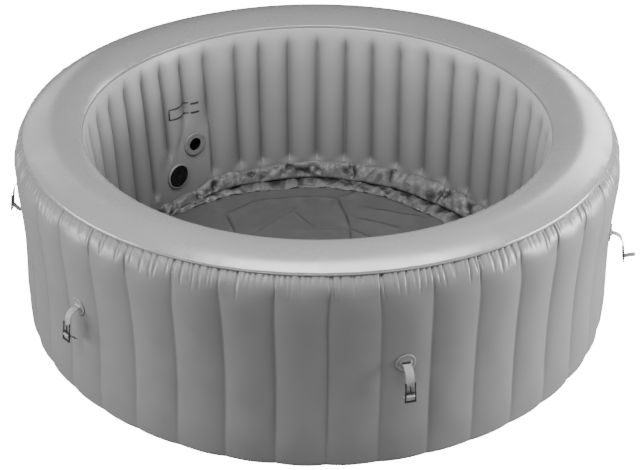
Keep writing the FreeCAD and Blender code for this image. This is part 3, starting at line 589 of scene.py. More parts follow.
def make_outer_wall():
    """The outside skin: upright lobes between the welds, puckers under the rim, a rolled foot.

    Returns the radius and azimuth of its lowest edge, where the base sheet is welded on.
    """
    weld_jitter = rng.normal(0, 0.10, CHAMBERS)
    drift = rng.normal(0, 0.30, CHAMBERS)
    weld_depth = WALL_WELD_DEPTH * (1 + rng.normal(0, 0.15, CHAMBERS))

    def weld_azimuth(number, level):
        """A weld's azimuth: almost upright, and pulled a little aside where it meets the rim."""
        turn = number // CHAMBERS * 360
        number = number % CHAMBERS
        base = FIRST_WELD + number * CHAMBER_ANGLE + weld_jitter[number] + turn
        return base + drift[number] * smooth(0.50, 0.63, level) + 0.22 * bell(level, 0.30, 0.22)

    gathers = []
    for number in range(CHAMBERS):
        lot = rng.integers(7, 10)
        spots = (np.arange(lot) + rng.uniform(0.15, 0.85, lot)) / lot
        for spot in spots:
            strong = rng.uniform(0, 1) ** 1.6
            gathers.append((number + spot, 0.026 + 0.050 * strong, rng.uniform(0.0034, 0.0066),
                            0.0026 + 0.0060 * strong, rng.normal(0, 0.30)))
        gathers.append((number, rng.uniform(0.060, 0.095), rng.uniform(0.0036, 0.0052),
                        rng.uniform(0.0070, 0.0105), rng.normal(0, 0.15)))

    def skin(steps, high):
        """Azimuth, radius, height and crease share of a block of rows with these columns a chamber."""
        across, chamber = chamber_columns(steps, 0.22)
        left, right = weld_azimuth(chamber, high), weld_azimuth(chamber + 1, high)
        azimuth = left + (right - left) * across
        side = 2 * across - 1
        nearest = np.where(side < 0, chamber, (chamber + 1) % CHAMBERS)
        held = (0.25 + 0.75 * smooth(0.0, 0.16, high)) * (1 - smooth(0.580, 0.650, high))
        foot_pull = 0.002 * (1 - smooth(0.0, 0.14, high))
        lobe = LOBE_ROUND * side**2 + LOBE_SHARP * np.abs(side) ** 9
        depth = (weld_depth[nearest] * held + foot_pull) * lobe
        radius = outer_radius(np.maximum(high, FOOT_ROLL)) - depth - seat_depth(azimuth, high)
        below = np.clip((FOOT_ROLL - high) / FOOT_ROLL, 0, 1)
        radius = radius - FOOT_ROLL * (1 - np.sqrt(1 - below**2))
        total = np.zeros_like(azimuth)
        for spot, long, wide, deep, lean in gathers:
            near = np.abs((across + chamber - spot + CHAMBERS / 2) % CHAMBERS - CHAMBERS / 2) < 0.28
            if high.max() < OUTER_SEAM_HIGH - long:
                continue
            rise = np.clip((high - (OUTER_SEAM_HIGH - long)) / long, 0, 1)
            centre = weld_azimuth(int(spot) % CHAMBERS, high) + (spot - int(spot)) * CHAMBER_ANGLE
            centre = centre + lean * (1 - rise)
            offset = np.radians(wrapped(azimuth[:, near] - centre)) * OUTER_SEAM_RADIUS
            valley = 1 / (1 + (offset / (wide * (0.22 + 0.78 * rise))) ** 2) ** 2
            total[:, near] += deep * valley * rise**0.7 * (1 - 0.6 * smooth(0.90, 1.0, rise))
        radius = radius - total
        radius = radius + 0.0007 * rounds(azimuth, high, [(9, 5), (23, 11), (47, 9), (61, 23)], 3)
        level = high + 0.0009 * ring_ripple(azimuth, (17, 55, 88), 4) * smooth(0.5, 0.66, high)
        # painted shade: a narrow dark band along each weld where the wall is held, and in the deepest pucker
        # valleys under the rim
        line = 1 / (1 + ((1 - np.abs(side)) / 0.03) ** 2)
        painted_shade = np.clip(0.30 * line * held + smooth(0.006, 0.012, total) * 0.9, 0, 1)
        return azimuth, radius, level, painted_shade

    coarse, fine = 28, 56
    turns = np.radians(np.linspace(-88, 0, 9))
    foot = FOOT_ROLL + FOOT_ROLL * np.sin(turns)
    low_rows = np.concatenate([foot, np.linspace(0.036, 0.290, 23), np.linspace(0.32, 0.575, 8)])[:, None]
    top_rows = np.linspace(0.582, OUTER_SEAM_HIGH + 0.001, 21)[:, None]
    blocks = [skin(coarse, low_rows), skin(fine, top_rows)]
    low_azimuth, low_radius = blocks[0][:2]
    faces = grid_faces(*low_azimuth.shape).tolist()
    faces += grid_faces(*blocks[1][0].shape, first=low_azimuth.size).tolist()
    below = low_azimuth.size - coarse * CHAMBERS + np.arange(coarse * CHAMBERS + 1) % (coarse * CHAMBERS)
    above = low_azimuth.size + np.arange(fine * CHAMBERS + 1) % (fine * CHAMBERS)
    for place in range(coarse * CHAMBERS):
        a, b = below[place: place + 2].tolist()
        c, d, e = above[2 * place: 2 * place + 3].tolist()
        faces += [[a, d, c], [a, b, d], [b, e, d]]
    points = [polar(radius, azimuth, high).reshape(-1, 3) for azimuth, radius, high, _ in blocks]
    painted_shade = np.concatenate([block[3].ravel() for block in blocks])
    piece = mesh_piece("outer_wall_skin", np.concatenate(points), faces, painted_shade)
    thicken(piece, SKIN)
    open_ways(piece, OUTER_WAYS)
    finish_piece(piece, "tub", WALL_SHEET, "wall_sheet", "outer_wall", "base_weld")
    return low_radius[0] + 0.0006, low_azimuth[0]


def make_base_sheet(edge):
    """The flat underside, curled up a little where it is welded to the wall."""
    edge_radius, edge_azimuth = (values[::5] for values in edge)
    shares = np.array([0.002, 0.12, 0.25, 0.4, 0.55, 0.7, 0.82, 0.9, 0.95, 0.98, 0.993, 1.0])[:, None]
    radius = shares * edge_radius
    sag = np.abs(rounds(edge_azimuth, radius * 3, [(3, 2), (7, 3), (13, 4)], 5))
    high = 0.0022 * smooth(0.975, 1.0, shares) + 0.0001 + 0.0012 * sag * (1 - shares)
    piece = grid_piece("base_sheet_skin", polar(radius, edge_azimuth, high))
    close_holes(piece, reach=0.1)
    thicken(piece, SKIN, 1.0)
    finish_piece(piece, "tub", BASE_SHEET, "base_sheet", "base_sheet")


def make_top_rim():
    """The smooth crown sheet that closes the ring, from the outer weld to the inner weld."""
    azimuth = even_azimuths(12 * CHAMBERS)
    start = (INNER_SEAM_RADIUS, INNER_SEAM_HIGH + WELD_HIGH)
    finish = (OUTER_SEAM_RADIUS, OUTER_SEAM_HIGH + WELD_HIGH)
    centre = arc_centre(finish, start, RIM_CURVE)
    first = math.atan2(finish[1] - centre[1], finish[0] - centre[0])
    last = math.atan2(start[1] - centre[1], start[0] - centre[0])
    share = np.linspace(0, 1, 30)[:, None]
    share = share - 0.22 * np.sin(2 * np.pi * share) / (2 * np.pi)
    angle = first + (last - first) * share
    lift = 0.0014 * np.sin(np.pi * share) * rounds(azimuth, share, [(2, 1), (5, 2), (9, 2)], 6)
    outer_edge = bell(share, 0.03, 0.07) * smooth(0, 0.03, share)
    inner_edge = bell(share, 0.97, 0.06) * smooth(0, 0.03, 1 - share)
    lift = lift + 0.0007 * ring_ripple(azimuth, (61, 97, 139), 7) * outer_edge
    lift = lift + 0.0005 * ring_ripple(azimuth, (42, 84, 57), 8) * inner_edge
    radius = centre[0] + (RIM_CURVE + lift) * np.cos(angle)
    high = centre[1] + (RIM_CURVE + lift) * np.sin(angle)
    piece = grid_piece("top_rim_skin", polar(radius, azimuth, high))
    thicken(piece, SKIN)
    finish_piece(piece, "tub", RIM_SHEET, "rim_sheet", "top_rim")


def make_rim_weld(name, node, radius, low, outward):
    """A welded lip: a thin flat band that stands a little off the seam and ripples along it."""
    azimuth = even_azimuths(16 * CHAMBERS)
    ripple = ring_ripple(azimuth, (31, 73, 118, 160), 9)
    # the band's section as (out from the seam, up from its foot)
    section = [(-0.0010, 0.0002), (0.0016, 0.0), (0.0021, 0.0014), (0.0021, 0.0042), (0.0014, 0.0058),
               (-0.0010, 0.0056)]
    rows = []
    for off, up in section:
        stand = off + 0.0004 * ripple * (off > 0)
        rows.append(polar(radius + outward * stand, azimuth, low + up + 0.0006 * ripple))
    piece = grid_piece(name, np.array(rows), close_rows=True, flip=outward < 0)
    finish_piece(piece, "tub", WELD_SHEET, "wall_sheet", node)


# ---- bowl
PANEL_LEFT, PANEL_RIGHT = -54.6, -34.0


def bowl_bearing(azimuth):
    """The angle from the back (+Y) towards +X: the fittings are at bearings of -40 and -47."""
    return wrapped(180 - azimuth)


def inner_weld_azimuth(number, level):
    """A weld of the bowl wall; beside the fittings the chambers are narrower and lean."""
    regular = FIRST_WELD + number * CHAMBER_ANGLE
    bearing = bowl_bearing(regular)
    left = 1 - smooth(90, 170, -bearing)
    shift = 1.5 * (1 - smooth(0, 24, bearing)) * left + 4.5 * smooth(36, 74, -bearing) * left
    shift = shift + 1.3 * bell(bearing, -27, 4)
    lean = 1.3 * smooth(0, 24, bearing) * (1 - smooth(90, 170, bearing)) + 1.2 * bell(bearing, -50, 22)
    return regular - shift - lean * (1 - np.clip(level / 0.6, 0, 1))


def fitting_panel(bearing, level):
    """1 on the smooth panel that carries the water fittings, 0 elsewhere."""
    right_of_left = smooth(PANEL_LEFT - 1.2, PANEL_LEFT + 1.6, bearing)
    left_of_right = 1 - smooth(PANEL_RIGHT - 1.6, PANEL_RIGHT + 1.2, bearing)
    top = np.interp(bearing, [-52, -47, -42, -37], [0.215, 0.240, 0.370, 0.330])
    return right_of_left * left_of_right * (1 - smooth(top - 0.03, top + 0.035, level))


def bowl_hold(level, plain):
    """How firmly the welds hold the bowl wall: 1 at half height, 0 at both ends and on the panel."""
    return smooth(0.070, 0.105, level) * (1 - smooth(0.555, 0.642, level)) * (1 - plain)


def bowl_wall_radius(azimuth, level, side):
    """Radius of the bowl wall's inside; side runs from -1 to 1 between two welds."""
    level = np.asarray(level, float)
    bearing = bowl_bearing(azimuth)
    plain = fitting_panel(bearing, level)
    crown = 0.0095 * smooth(0.0, 0.12, level) * (1 - smooth(0.48, 0.655, level))
    round_lobe = 1 - np.sqrt(np.clip(1 - (0.93 * side) ** 2, 0, 1))
    lobe = 0.85 * round_lobe / 0.632 + 0.15 * side**2
    return inner_radius(level) - crown * (1 - 0.6 * plain) + 0.0265 * lobe * bowl_hold(level, plain)


def make_inner_wall():
    """The bowl's inside skin: full lobes between narrow welds, and a smooth panel at the fittings."""
    across, chamber = chamber_columns(22, 0.55)
    low = np.linspace(0.0035, 0.29, 30)
    middle = np.linspace(0.32, 0.56, 9)
    top = np.linspace(0.568, INNER_SEAM_HIGH + 0.001, 18)
    high = np.concatenate([low, middle, top])[:, None]
    left, right = inner_weld_azimuth(chamber, high), inner_weld_azimuth(chamber + 1, high)
    azimuth = left + (right - left) * across
    side = 2 * across - 1
    radius = bowl_wall_radius(azimuth, high, side)
    nearness = 1 / (1 + ((1 - np.abs(side)) / 0.10) ** 2)
    number = np.where(side < 0, chamber, (chamber + 1) % CHAMBERS)
    top_high = 0.628 + rng.normal(0, 0.005, CHAMBERS)[number]
    top_deep = rng.uniform(0.0002, 0.0016, CHAMBERS)[number]
    foot_deep = rng.uniform(0.002, 0.006, CHAMBERS)[number]
    plain = fitting_panel(bowl_bearing(azimuth), high)
    dimple = top_deep * bell(high, top_high, 0.010) * nearness
    foot = foot_deep * bell(high, 0.096, 0.010) * nearness * (1 - plain)
    wander = 0.0010 * rounds(azimuth, high, [(11, 6), (29, 13), (53, 9)], 12)
    radius = radius + dimple - foot + wander * smooth(0, 0.1, high) * (1 - smooth(0.60, 0.65, high))
    # painted shade in the grooves at the welds, fading out where the welds no longer hold the wall and on the
    # fitting panel
    painted_shade = np.clip(0.62 * bowl_hold(high, plain) / (1 + ((1 - np.abs(side)) / 0.30) ** 2), 0, 1)
    piece = grid_piece("inner_wall_skin", polar(radius, azimuth, high), painted_shade=painted_shade, flip=True)
    thicken(piece, SKIN)
    open_ways(piece, INNER_WAYS)
    finish_piece(piece, "tub", INNER_SHEET, "wall_sheet", "inner_wall")


def wall_strip(name, bearings, level, wide):
    """A printed line on the bowl wall: a thin strip that follows the surface."""
    rows = []
    numbers = np.arange(CHAMBERS)
    for z in (level - wide / 2, level + wide / 2):
        row = []
        for a in 180 - bearings:
            welds = inner_weld_azimuth(numbers, z) % 360
            gaps = (a % 360 - welds) % 360
            number = int(np.argmin(gaps))
            width = (inner_weld_azimuth(number + 1, z) - inner_weld_azimuth(number, z)) % 360
            side = 2 * gaps[number] / width - 1
            row.append(polar(bowl_wall_radius(a, z, side) - 0.0012, a, z))
        rows.append(row)
    piece = grid_piece(name, np.array(rows), closed=False)
    thicken(piece, 0.0006, 0.0)
    finish_piece(piece, "tub", PRINTED_INK, "black_plastic")


def make_level_marks():
    """Two water level lines above the fittings, an upright tick at one end, plain dashes at the other."""
    marks = (
        # (name, first bearing, last bearing, columns, height, width)
        ("level_line_high", -48.0, -41.0, 22, 0.426, 0.0044),
        ("level_line_low", -48.0, -41.0, 22, 0.383, 0.0044),
        ("level_line_tick", -48.3, -47.95, 3, 0.404, 0.046),
        ("level_pointer_high", -40.4, -37.9, 8, 0.420, 0.0075),
        ("level_pointer_low", -40.4, -37.9, 8, 0.382, 0.0075),
    )
    for name, first, last, columns, level, wide in marks:
        wall_strip(name, np.linspace(first, last, columns), level, wide)


def make_wall_webs():
    """The upright webs between the two wall skins, one at each chamber line."""
    high = np.linspace(0.012, 0.57, 14)
    share = np.linspace(0, 1, 5)[:, None]
    points, faces = [], []
    for number in range(CHAMBERS):
        inner_turn = inner_weld_azimuth(number, high)
        outer_turn = FIRST_WELD + number * CHAMBER_ANGLE + 0.22 * bell(high, 0.30, 0.22)
        inner = bowl_wall_radius(inner_turn, high, 1.0) + 0.0035
        outer = outer_radius(high) - 0.0175
        gap = wrapped(outer_turn - inner_turn)
        sheet = polar(inner + (outer - inner) * share, inner_turn + gap * share, high)
        faces += grid_faces(*sheet.shape[:2], closed=False, first=number * share.size * high.size).tolist()
        points.append(sheet)
    webs = mesh_piece("wall_webs", np.array(points), faces)
    thicken(webs, 0.0008, 0.0)
    finish_piece(webs, "tub", WALL_SHEET, "wall_sheet", "wall_baffles")


def make_floor_liner():
    """The loose floor sheet with the folds that packing left in it."""
    folds = [
        # (start, finish, rise, half width)
        ((-0.356, 0.436), (-0.250, 0.546), 0.0045, 0.030),
        ((-0.250, 0.546), (-0.018, 0.583), 0.0050, 0.026),
        ((-0.018, 0.583), (0.080, 0.568), 0.0060, 0.026),
        ((0.080, 0.568), (0.127, 0.340), 0.0075, 0.030),
        ((0.127, 0.340), (-0.090, 0.332), 0.0035, 0.040),
        ((-0.073, 0.511), (-0.250, 0.300), 0.0042, 0.026),
        ((-0.100, 0.475), (-0.010, 0.330), 0.0040, 0.028),
        ((-0.362, 0.440), (-0.320, 0.290), 0.0085, 0.014),
        ((0.080, 0.568), (0.190, 0.640), 0.0055, 0.024),
        ((0.127, 0.340), (0.300, 0.180), 0.0060, 0.034),
        ((0.170, 0.500), (0.420, 0.420), 0.0070, 0.050),
        ((0.150, 0.420), (0.330, 0.330), 0.0060, 0.045),
        ((-0.250, 0.300), (-0.500, -0.050), 0.0045, 0.030),
        ((-0.320, 0.290), (-0.280, -0.260), 0.0060, 0.022),
        ((-0.280, -0.260), (0.200, -0.300), 0.0050, 0.026),
        ((0.200, -0.300), (0.127, 0.340), 0.0050, 0.030),
        ((0.200, -0.300), (0.480, -0.480), 0.0060, 0.030),
        ((-0.280, -0.260), (-0.520, -0.420), 0.0060, 0.028),
        ((-0.020, -0.290), (0.020, -0.690), 0.0045, 0.026),
    ]
    azimuth = even_azimuths(384)
    rings = 110
    share = (np.arange(rings) + 0.5)[:, None] / rings
    points = polar(LINER_RADIUS * share**0.8, azimuth, 0.0)
    x, y = points[..., 0], points[..., 1]
    reach = np.hypot(x, y)
    sway = 0.006 * (np.sin(x * 23 + 1) * np.cos(y * 19) + 0.5 * np.sin(x * 61 + y * 47))
    high = 0.0012 * (1 + np.sin(x * 9 + 2) * np.cos(y * 11))
    painted_shade = np.zeros_like(x)
    for (x0, y0), (x1, y1), rise, half in folds:
        long = math.hypot(x1 - x0, y1 - y0)
        along = ((x - x0) * (x1 - x0) + (y - y0) * (y1 - y0)) / long
        off = ((x - x0) * (y1 - y0) - (y - y0) * (x1 - x0)) / long + sway * 0.5
        ends = smooth(-0.03, 0.05, along) * (1 - smooth(long - 0.05, long + 0.03, along))
        steep = np.clip(1 - np.abs(off) / (half * 0.35), 0, 1)
        gentle = np.clip(1 - np.abs(off) / (half * 2.6), 0, 1) ** 1.5
        high = np.maximum(high, 1.1 * rise * np.where(off > 0, gentle, steep) * ends)
        # painted shade: a narrow dark line along the steep flank of each fold
        painted_shade = np.maximum(painted_shade, bell(off, -0.0042, 0.0034) * ends * min(1, rise / 0.006))
    rough = 0.0016 * fold(x * 34 + 3 * np.sin(y * 12)) * fold(y * 29 + 2 * np.sin(x * 17))
    high = high + np.abs(rough) * 0.7
    edge = smooth(0.60, 0.74, reach)
    high = high + edge * 0.004 * np.abs(rounds(azimuth, reach * 20, [(37, 2), (71, 3), (110, 2)], 15))
    points[..., 2] = LINER_TOP - 0.0015 + high
    piece = grid_piece("floor_liner_sheet", points, painted_shade=painted_shade)
    close_holes(piece, (0, 0, LINER_TOP), 0.1)
    thicken(piece, 0.0010)
    finish_piece(piece, "tub", LINER_SHEET, "floor_liner", "floor_liner")


def crumpled(azimuth, share, seed, turns):
    """Angular folds round the tub: zigzags of several pitches that slant and shift as they go."""
    draw = np.random.default_rng(seed)
    total = 0
    angle = np.radians(azimuth)
    for number, pitch in enumerate(turns):
        phase = draw.uniform(0, 6.28, 3)
        slip = 1.6 * np.sin(angle * pitch * 0.23 + phase[1]) + 1.1 * np.sin(angle * pitch * 0.41 + phase[2])
        slant = draw.uniform(-2.5, 2.5) + 1.5 * np.sin(angle * 5 + phase[2])
        total = total + fold(angle * pitch + slip + slant * share + phase[0]) / (1 + 0.55 * number)
    return total / 1.6


def make_bubble_duct():
    """The gathered band at the foot of the wall and the loose strip that lies inside it."""
    azimuth = even_azimuths(24 * CHAMBERS)
    bearing = bowl_bearing(azimuth)
    slack = smooth(-30, 60, bearing) * (1 - smooth(130, 175, bearing))
    front = 0.722 - 0.026 * slack - 0.008 * bell(bearing, -60, 18)
    front = np.minimum(front + 0.006 * ring_ripple(azimuth, (6, 13), 21), 0.731)
    share = np.linspace(0, 1, 26)[:, None]
    back = inner_radius(0.05) - 0.004
    low_side = smooth(4, 44, -bearing) * (1 - smooth(110, 160, -bearing))
    over_air_fitting = 0.026 * bell(bearing, bowl_bearing(AIR_AZIMUTH), 5.5)
    chamber_wave = 0.0030 * np.cos(np.radians((azimuth - FIRST_WELD) * CHAMBERS))
    top = 0.076 - 0.034 * low_side + over_air_fitting + chamber_wave + 0.004 * slack
    # the section runs down the face, then back under to the wall
    face = np.clip(share / 0.72, 0, 1)
    under = np.clip((share - 0.72) / 0.28, 0, 1)
    bulge = 0.004 * np.sin(np.pi * face)
    radius = back + (front - back) * face**0.85 - bulge * 0.6 + (back - front) * under
    high = top + (0.016 - top) * face**1.25 + bulge * 0.7 - 0.009 * smooth(0, 0.5, under)
    folds = crumpled(azimuth, share * 3.2, 31, (23, 41, 70, 113))
    loose = np.sin(np.pi * np.clip(face, 0.04, 1)) * (1 - under) + 0.25 * (1 - under)
    out = 0.0085 * folds * loose
    radius = radius - out * 0.75
    high = high + out * 0.8 * (1 - under)
    high = np.maximum(high, LINER_TOP + 0.0022)
    # painted shade in the valleys of the folds and under the band, where it turns back to the wall
    fold_valley_shade = np.clip(-folds * 1.2 * loose, 0, 1)
    painted_shade = np.clip(fold_valley_shade + smooth(0.62, 0.72, share), 0, 1)
    points = polar(radius, azimuth, high)
    band = grid_piece("bubble_duct_band", points, painted_shade=painted_shade, close_rows=True, flip=True)
    finish_piece(band, "tub", DUCT_SHEET, "duct_sheet", "bubble_duct")

    lip = np.linspace(0, 1, 15)[:, None]
    spread = 0.052 + 0.032 * slack + 0.022 * bell(bearing, -12, 26)
    spread = spread * (1 - 0.75 * bell(bearing, -75, 38))
    outer_edge = front + 0.012
    radius = outer_edge - spread * lip + 0.004 * crumpled(azimuth, lip, 41, (29, 53)) * lip
    wave = crumpled(azimuth, lip * 3, 43, (33, 58, 89, 131))
    high = 0.0105 + 0.0075 * wave * (0.35 + 0.65 * lip) + 0.006 * np.sin(np.pi * lip)
    high = high * (1 - 0.35 * smooth(0.75, 1, lip))
    high = np.maximum(high, LINER_TOP + 0.0024)
    # painted shade where the strip lies under the band's edge, fading away from it, in the hollows of its
    # folds, and a little everywhere
    painted_shade = np.clip(1.0 - lip * 1.1 - 0.6 * wave, 0.15, 1)
    strip = grid_piece("bubble_duct_strip", polar(radius, azimuth, high), painted_shade=painted_shade, flip=True)
    thicken(strip, 0.0008)
    finish_piece(strip, "tub", DUCT_SHEET, "duct_sheet", "bubble_duct")


# ---- straps
WEBBING_WIDE, WEBBING_THICK = 0.025, 0.0018
STRAP_ARCH, LONG_STRAP_ARCH, STRAP_FALL, TAIL_LONG = 0.032, 0.062, 0.054, 0.042
STRAP_TOP_HEADING, STRAP_END_HEADING = 10, 82
BAR_RADIUS = 0.002
LOOP_RADIUS = BAR_RADIUS + 0.0004 + WEBBING_THICK / 2
ROOT_RADIUS = 1.0235
PATCH_RADIUS = 0.030


def heading(degrees):
    """Direction of a run of webbing, as (outwards, up), degrees below the outward horizontal."""
    return np.array([math.cos(math.radians(degrees)), -math.sin(math.radians(degrees))])


def arc(centre, radius, first, last, count):
    """Points of an arc between two angles in degrees."""
    angles = np.radians(np.linspace(first, last, count))
    return [centre + radius * np.array([math.cos(a), math.sin(a)]) for a in angles]


def angle_of(direction):
    return math.degrees(math.atan2(direction[1], direction[0]))


def strap_points(arch_radius):
    """Centre line of the webbing in (outwards, up): arch, straight fall and the bar's centre."""
    start = heading(-STRAP_TOP_HEADING)
    centre = np.array([start[1], -start[0]]) * arch_radius
    finish = heading(STRAP_END_HEADING)
    outward = np.array([-finish[1], finish[0]])
    arch = arc(centre, arch_radius, angle_of(-centre), angle_of(outward), 22)
    bar = arch[-1] + finish * STRAP_FALL + outward * LOOP_RADIUS
    fall = [arch[-1] + finish * STRAP_FALL * t for t in np.linspace(0.08, 0.96, 12)]
    return arch, fall, bar, outward


def ribbon(name, line, wide, thick):
    """A flat strap with soft edges along a centre line in (outwards, up); its UV map is in metres."""
    line = np.array(line)
    run = np.gradient(line, axis=0)
    run /= np.linalg.norm(run, axis=1)[:, None]
    off = np.stack([-run[:, 1], run[:, 0]], axis=1)
    lengths = np.concatenate([[0], np.cumsum(np.linalg.norm(np.diff(line, axis=0), axis=1))])
    half, h = wide / 2, thick / 2
    section = [(-half, 0.0, 0), (-half + 0.0008, h, 0.0008)]
    for x in np.linspace(-0.0095, 0.0095, 5):
        section.append((x, h * (1.0 + 0.10 * math.cos(x * math.pi / half)), x + half))
    section += [(half - 0.0008, h, wide - 0.0008), (half, 0.0, wide)]
    section += [(x, -y, u) for x, y, u in reversed(section[1:-1])]
    rings = []
    for point, across in zip(line, off):
        rings.append([(point[0] + across[0] * y, x, point[1] + across[1] * y) for x, y, _ in section])
    mesh = bmesh.new()
    layer = mesh.loops.layers.uv.new("UVMap")
    grid = [[mesh.verts.new(p) for p in ring] for ring in rings]
    count = len(section)
    for i in range(len(grid) - 1):
        for j in range(count):
            k = (j + 1) % count
            face = mesh.faces.new([grid[i][j], grid[i][k], grid[i + 1][k], grid[i + 1][j]])
            us = (section[j][2], section[k][2], section[k][2], section[j][2])
            vs = (lengths[i], lengths[i], lengths[i + 1], lengths[i + 1])
            for loop, u, v in zip(face.loops, us, vs):
                loop[layer].uv = (u, v)
    for ring in (grid[0], list(reversed(grid[-1]))):
        mesh.faces.new(list(reversed(ring)))
    bmesh.ops.recalc_face_normals(mesh, faces=mesh.faces)
    data = bpy.data.meshes.new(name)
    mesh.to_mesh(data)
    mesh.free()
    data.shade_smooth()
    return add_object(name, data)


def radial_place(azimuth, radius, high):
    """The place of a radial piece: its +X points outwards at this azimuth."""
    spot = Vector(polar(radius, azimuth, high))
    return Matrix.Translation(spot) @ Matrix.Rotation(math.radians(azimuth - 90), 4, "Z")


def make_strap(number, azimuth):
    """Webbing sewn to the wall patch; it arches out, folds round the buckle's bar and ends in a tail."""
    outward_tail = number in OUTWARD_TAIL_STRAPS
    arch, fall, bar, outward = strap_points(LONG_STRAP_ARCH if number in LONG_STRAPS else STRAP_ARCH)
    from_angle = angle_of(-outward)
    run = heading(-20 if outward_tail else 135)
    to_angle = angle_of((run[1], -run[0]))
    while to_angle < from_angle:
        to_angle += 360
    loop = arc(bar, LOOP_RADIUS, from_angle, to_angle, 12)
    droop = -0.002 if outward_tail else 0.0035
    tail = []
    for t in np.linspace(0.12, 1, 10):
        sag = np.array([0.0, -droop * math.sin(math.pi * t)])
        tail.append(loop[-1] + run * (TAIL_LONG - 0.003) * t + sag)
    piece = ribbon(f"strap_{number}_webbing", arch + fall + loop + tail, WEBBING_WIDE, WEBBING_THICK)
    piece.data.transform(radial_place(azimuth, ROOT_RADIUS, STRAP_HIGH))
    finish_piece(piece, f"strap_{number}", WEBBING, "webbing", f"strap_{number}")


def make_patch(number, azimuth):
    """The round patch that is welded to the wall, raised to a small hood round the strap's root."""
    turn = np.linspace(0, 2 * np.pi, 56, endpoint=False)
    share = np.linspace(0.03, 1, 18)[:, None]
    across = PATCH_RADIUS * share * np.cos(turn)
    up = PATCH_RADIUS * share * np.sin(turn)
    level = STRAP_HIGH + up
    lobe_drop = WALL_WELD_DEPTH * LOBE_ROUND * (across / HALF_CHAMBER) ** 2
    ring = 0.0007 * bell(share, 0.90, 0.05) - 0.0012 * smooth(0.94, 1.0, share)
    hood = 0.0050 * (1 - smooth(0.0130, 0.0185, np.abs(across))) * bell(up, 0.001, 0.0062)
    out = outer_radius(level) - lobe_drop + 0.0018 + ring + hood
    points = polar(out, azimuth + np.degrees(across / WALL_RADIUS), level)
    # painted shade in the slot under the hood where the strap comes out
    slot = (1 - smooth(0.0120, 0.0150, np.abs(across))) * bell(up, 0.0042, 0.0030)
    piece = grid_piece(f"strap_patch_{number}", points, painted_shade=np.clip(1.4 * slot, 0, 1))
    close_holes(piece, polar(WALL_RADIUS, azimuth, STRAP_HIGH), 0.012)
    thicken(piece, SKIN)
    finish_piece(piece, "tub", PATCH_SHEET, "wall_sheet", "strap_patches")


# ---- valve spring
def make_valve_spring():
    """The coil that pushes the valve's plunger outwards, built at one length."""
    low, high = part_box("valve_spring")
    outward = Vector(polar(1.0, VALVE_AZIMUTH, math.tan(math.radians(VALVE_TILT)))).normalized()
    turns, long, coil_radius, wire_radius = 5, 0.0076, 0.0047, 0.00026
    seat = (low + high) / 2 - outward * long / 2
    bpy.ops.mesh.primitive_circle_add(vertices=10, radius=wire_radius, rotation=(math.pi / 2, 0, 0))
    spring = bpy.context.object
    spring.name = "valve_spring_coil"
    spring.data.transform(Matrix.Translation((coil_radius, 0, 0)) @ spring.matrix_world)
    spring.matrix_world = Matrix()
    screw = spring.modifiers.new("coil", "SCREW")
    screw.steps = screw.render_steps = 24
    screw.screw_offset = long / turns
    screw.iterations = turns
    screw.use_merge_vertices = True
    screw.merge_threshold = 0.00001
    apply_modifiers(spring)
    close_holes(spring, turn_out=True)
    spring.data.transform(Matrix.Translation(seat) @ outward.to_track_quat("Z", "Y").to_matrix().to_4x4())
    spring.data.shade_smooth()
    finish_piece(spring, "tub", STEEL, "spring_wire", "valve_spring")
    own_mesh(spring)


# ---- frame nodes that stay
def dress_frame_nodes():
    """Materials of the nodes whose own shape is shown: black plastic unless they are listed here."""
    looks = {
        "return_flange": RETURN_PLASTIC, "suction_flange": SUCTION_PLASTIC, "suction_strainer": GLOSS_PLASTIC,
        "air_riser": PIPE_PLASTIC, "drain_pipe": PIPE_PLASTIC,
    }
    for name in ("return_spigot", "suction_spigot", "air_spigot", "valve_base", "drain_flange"):
        looks[name] = GRAY_PLASTIC
    for name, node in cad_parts.items():
        if node.hide_render:
            continue
        look = looks.get(name, RUBBER if "gasket" in name else BLACK_PLASTIC)
        for slot in node.material_slots:
            slot.material = look
        if not node.material_slots:
            node.data.materials.append(look)


# ---- stage, lights and camera
CAMERA_PLACE = (0, -3.8987, 2.6138)
CAMERA_DOWN, CAMERA_ROLL = 30.18, 0.32


def make_stage():
    """A wide floor that is plain white to the camera and gray to the light."""
    bpy.ops.mesh.primitive_plane_add(size=60, location=(0, 0, -0.0005))
    floor = bpy.context.object
    floor.name = "studio_floor"
    material, n, shader, _ = new_material("studio_floor", 0.9, 0.0)
    ray = n.add("ShaderNodeLightPath").outputs["Is Camera Ray"]
    shader.inputs["Base Color"].default_value = grey(0.26)
    shader.inputs["Emission Color"].default_value = (1, 1, 1, 1)
    n.set(shader.inputs["Emission Strength"], n.times(ray, 16.0))
    floor.data.materials.append(material)


LIGHTS = (
    # (name, place, aim, width, height over width, power)
    ("overhead_softbox", (0.35, -0.95, 3.0), (0.35, -0.95, 0), 2.8, 0.50, 175),
    ("front_softbox", (-2.5, -3.2, 4.7), (0, 0.4, 0.3), 1.5, 1.0, 245),
    ("left_softbox", (-4.15, -1.2, 0.80), (0, 0, 0.3), 2.6, 0.55, 215),
    ("right_softbox", (4.2, -0.6, 0.72), (0, 0, 0.3), 2.8, 0.48, 450),
    ("back_left_softbox", (-2.9, 3.7, 2.3), (0, 0, 0.5), 2.4, 1.0, 25),
    ("back_right_softbox", (2.9, 3.7, 2.3), (0, 0, 0.5), 2.4, 1.0, 140),
)


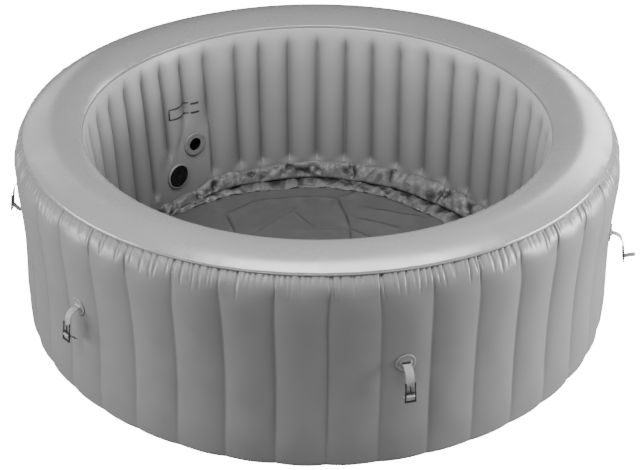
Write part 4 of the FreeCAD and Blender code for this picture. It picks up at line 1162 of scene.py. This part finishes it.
def make_lights():
    """Soft rectangular lights, each facing its aim, and a dim white world."""
    for name, place, aim, size, shape, power in LIGHTS:
        data = bpy.data.lights.new(name, "AREA")
        data.shape = "RECTANGLE"
        data.size = size
        data.size_y = size * shape
        data.energy = power
        facing = (Vector(place) - Vector(aim)).to_track_quat("Z", "Y").to_matrix().to_4x4()
        add_object(name, data).matrix_world = Matrix.Translation(place) @ facing
    world = bpy.data.worlds.new("studio")
    world.use_nodes = True
    backdrop = world.node_tree.nodes["Background"].inputs
    backdrop["Color"].default_value = (1, 1, 1, 1)
    backdrop["Strength"].default_value = 0.15
    bpy.context.scene.world = world


def make_camera():
    """A camera in front of the tub that looks down on it, with a slight roll."""
    data = bpy.data.cameras.new("camera")
    data.sensor_width = 36
    data.lens = 71.67
    data.shift_x = 0.0044
    data.shift_y = -0.0608
    data.clip_end = 100
    camera = add_object("camera", data)
    down, roll = math.radians(CAMERA_DOWN), math.radians(CAMERA_ROLL)
    ahead = Vector((0, math.cos(down), -math.sin(down)))
    level, top = Vector((1, 0, 0)), Vector((0, math.sin(down), math.cos(down)))
    right = level * math.cos(roll) + top * math.sin(roll)
    up = top * math.cos(roll) - level * math.sin(roll)
    turn = Matrix((right, up, -ahead)).transposed().to_4x4()
    camera.matrix_world = Matrix.Translation(CAMERA_PLACE) @ turn
    bpy.context.scene.camera = camera


# ---- the whole tub
make_camera()
make_base_sheet(make_outer_wall())
make_top_rim()
make_rim_weld("rim_outer_lip", "rim_outer_weld", OUTER_SEAM_RADIUS, OUTER_SEAM_HIGH, 1)
make_rim_weld("rim_inner_lip", "rim_inner_weld", INNER_SEAM_RADIUS, INNER_SEAM_HIGH, -1)
make_inner_wall()
make_level_marks()
make_wall_webs()
make_floor_liner()
make_bubble_duct()
for strap_number, strap_azimuth in enumerate(STRAP_AZIMUTHS, start=1):
    make_patch(strap_number, strap_azimuth)
    make_strap(strap_number, strap_azimuth)
make_valve_spring()
dress_frame_nodes()
make_stage()
make_lights()
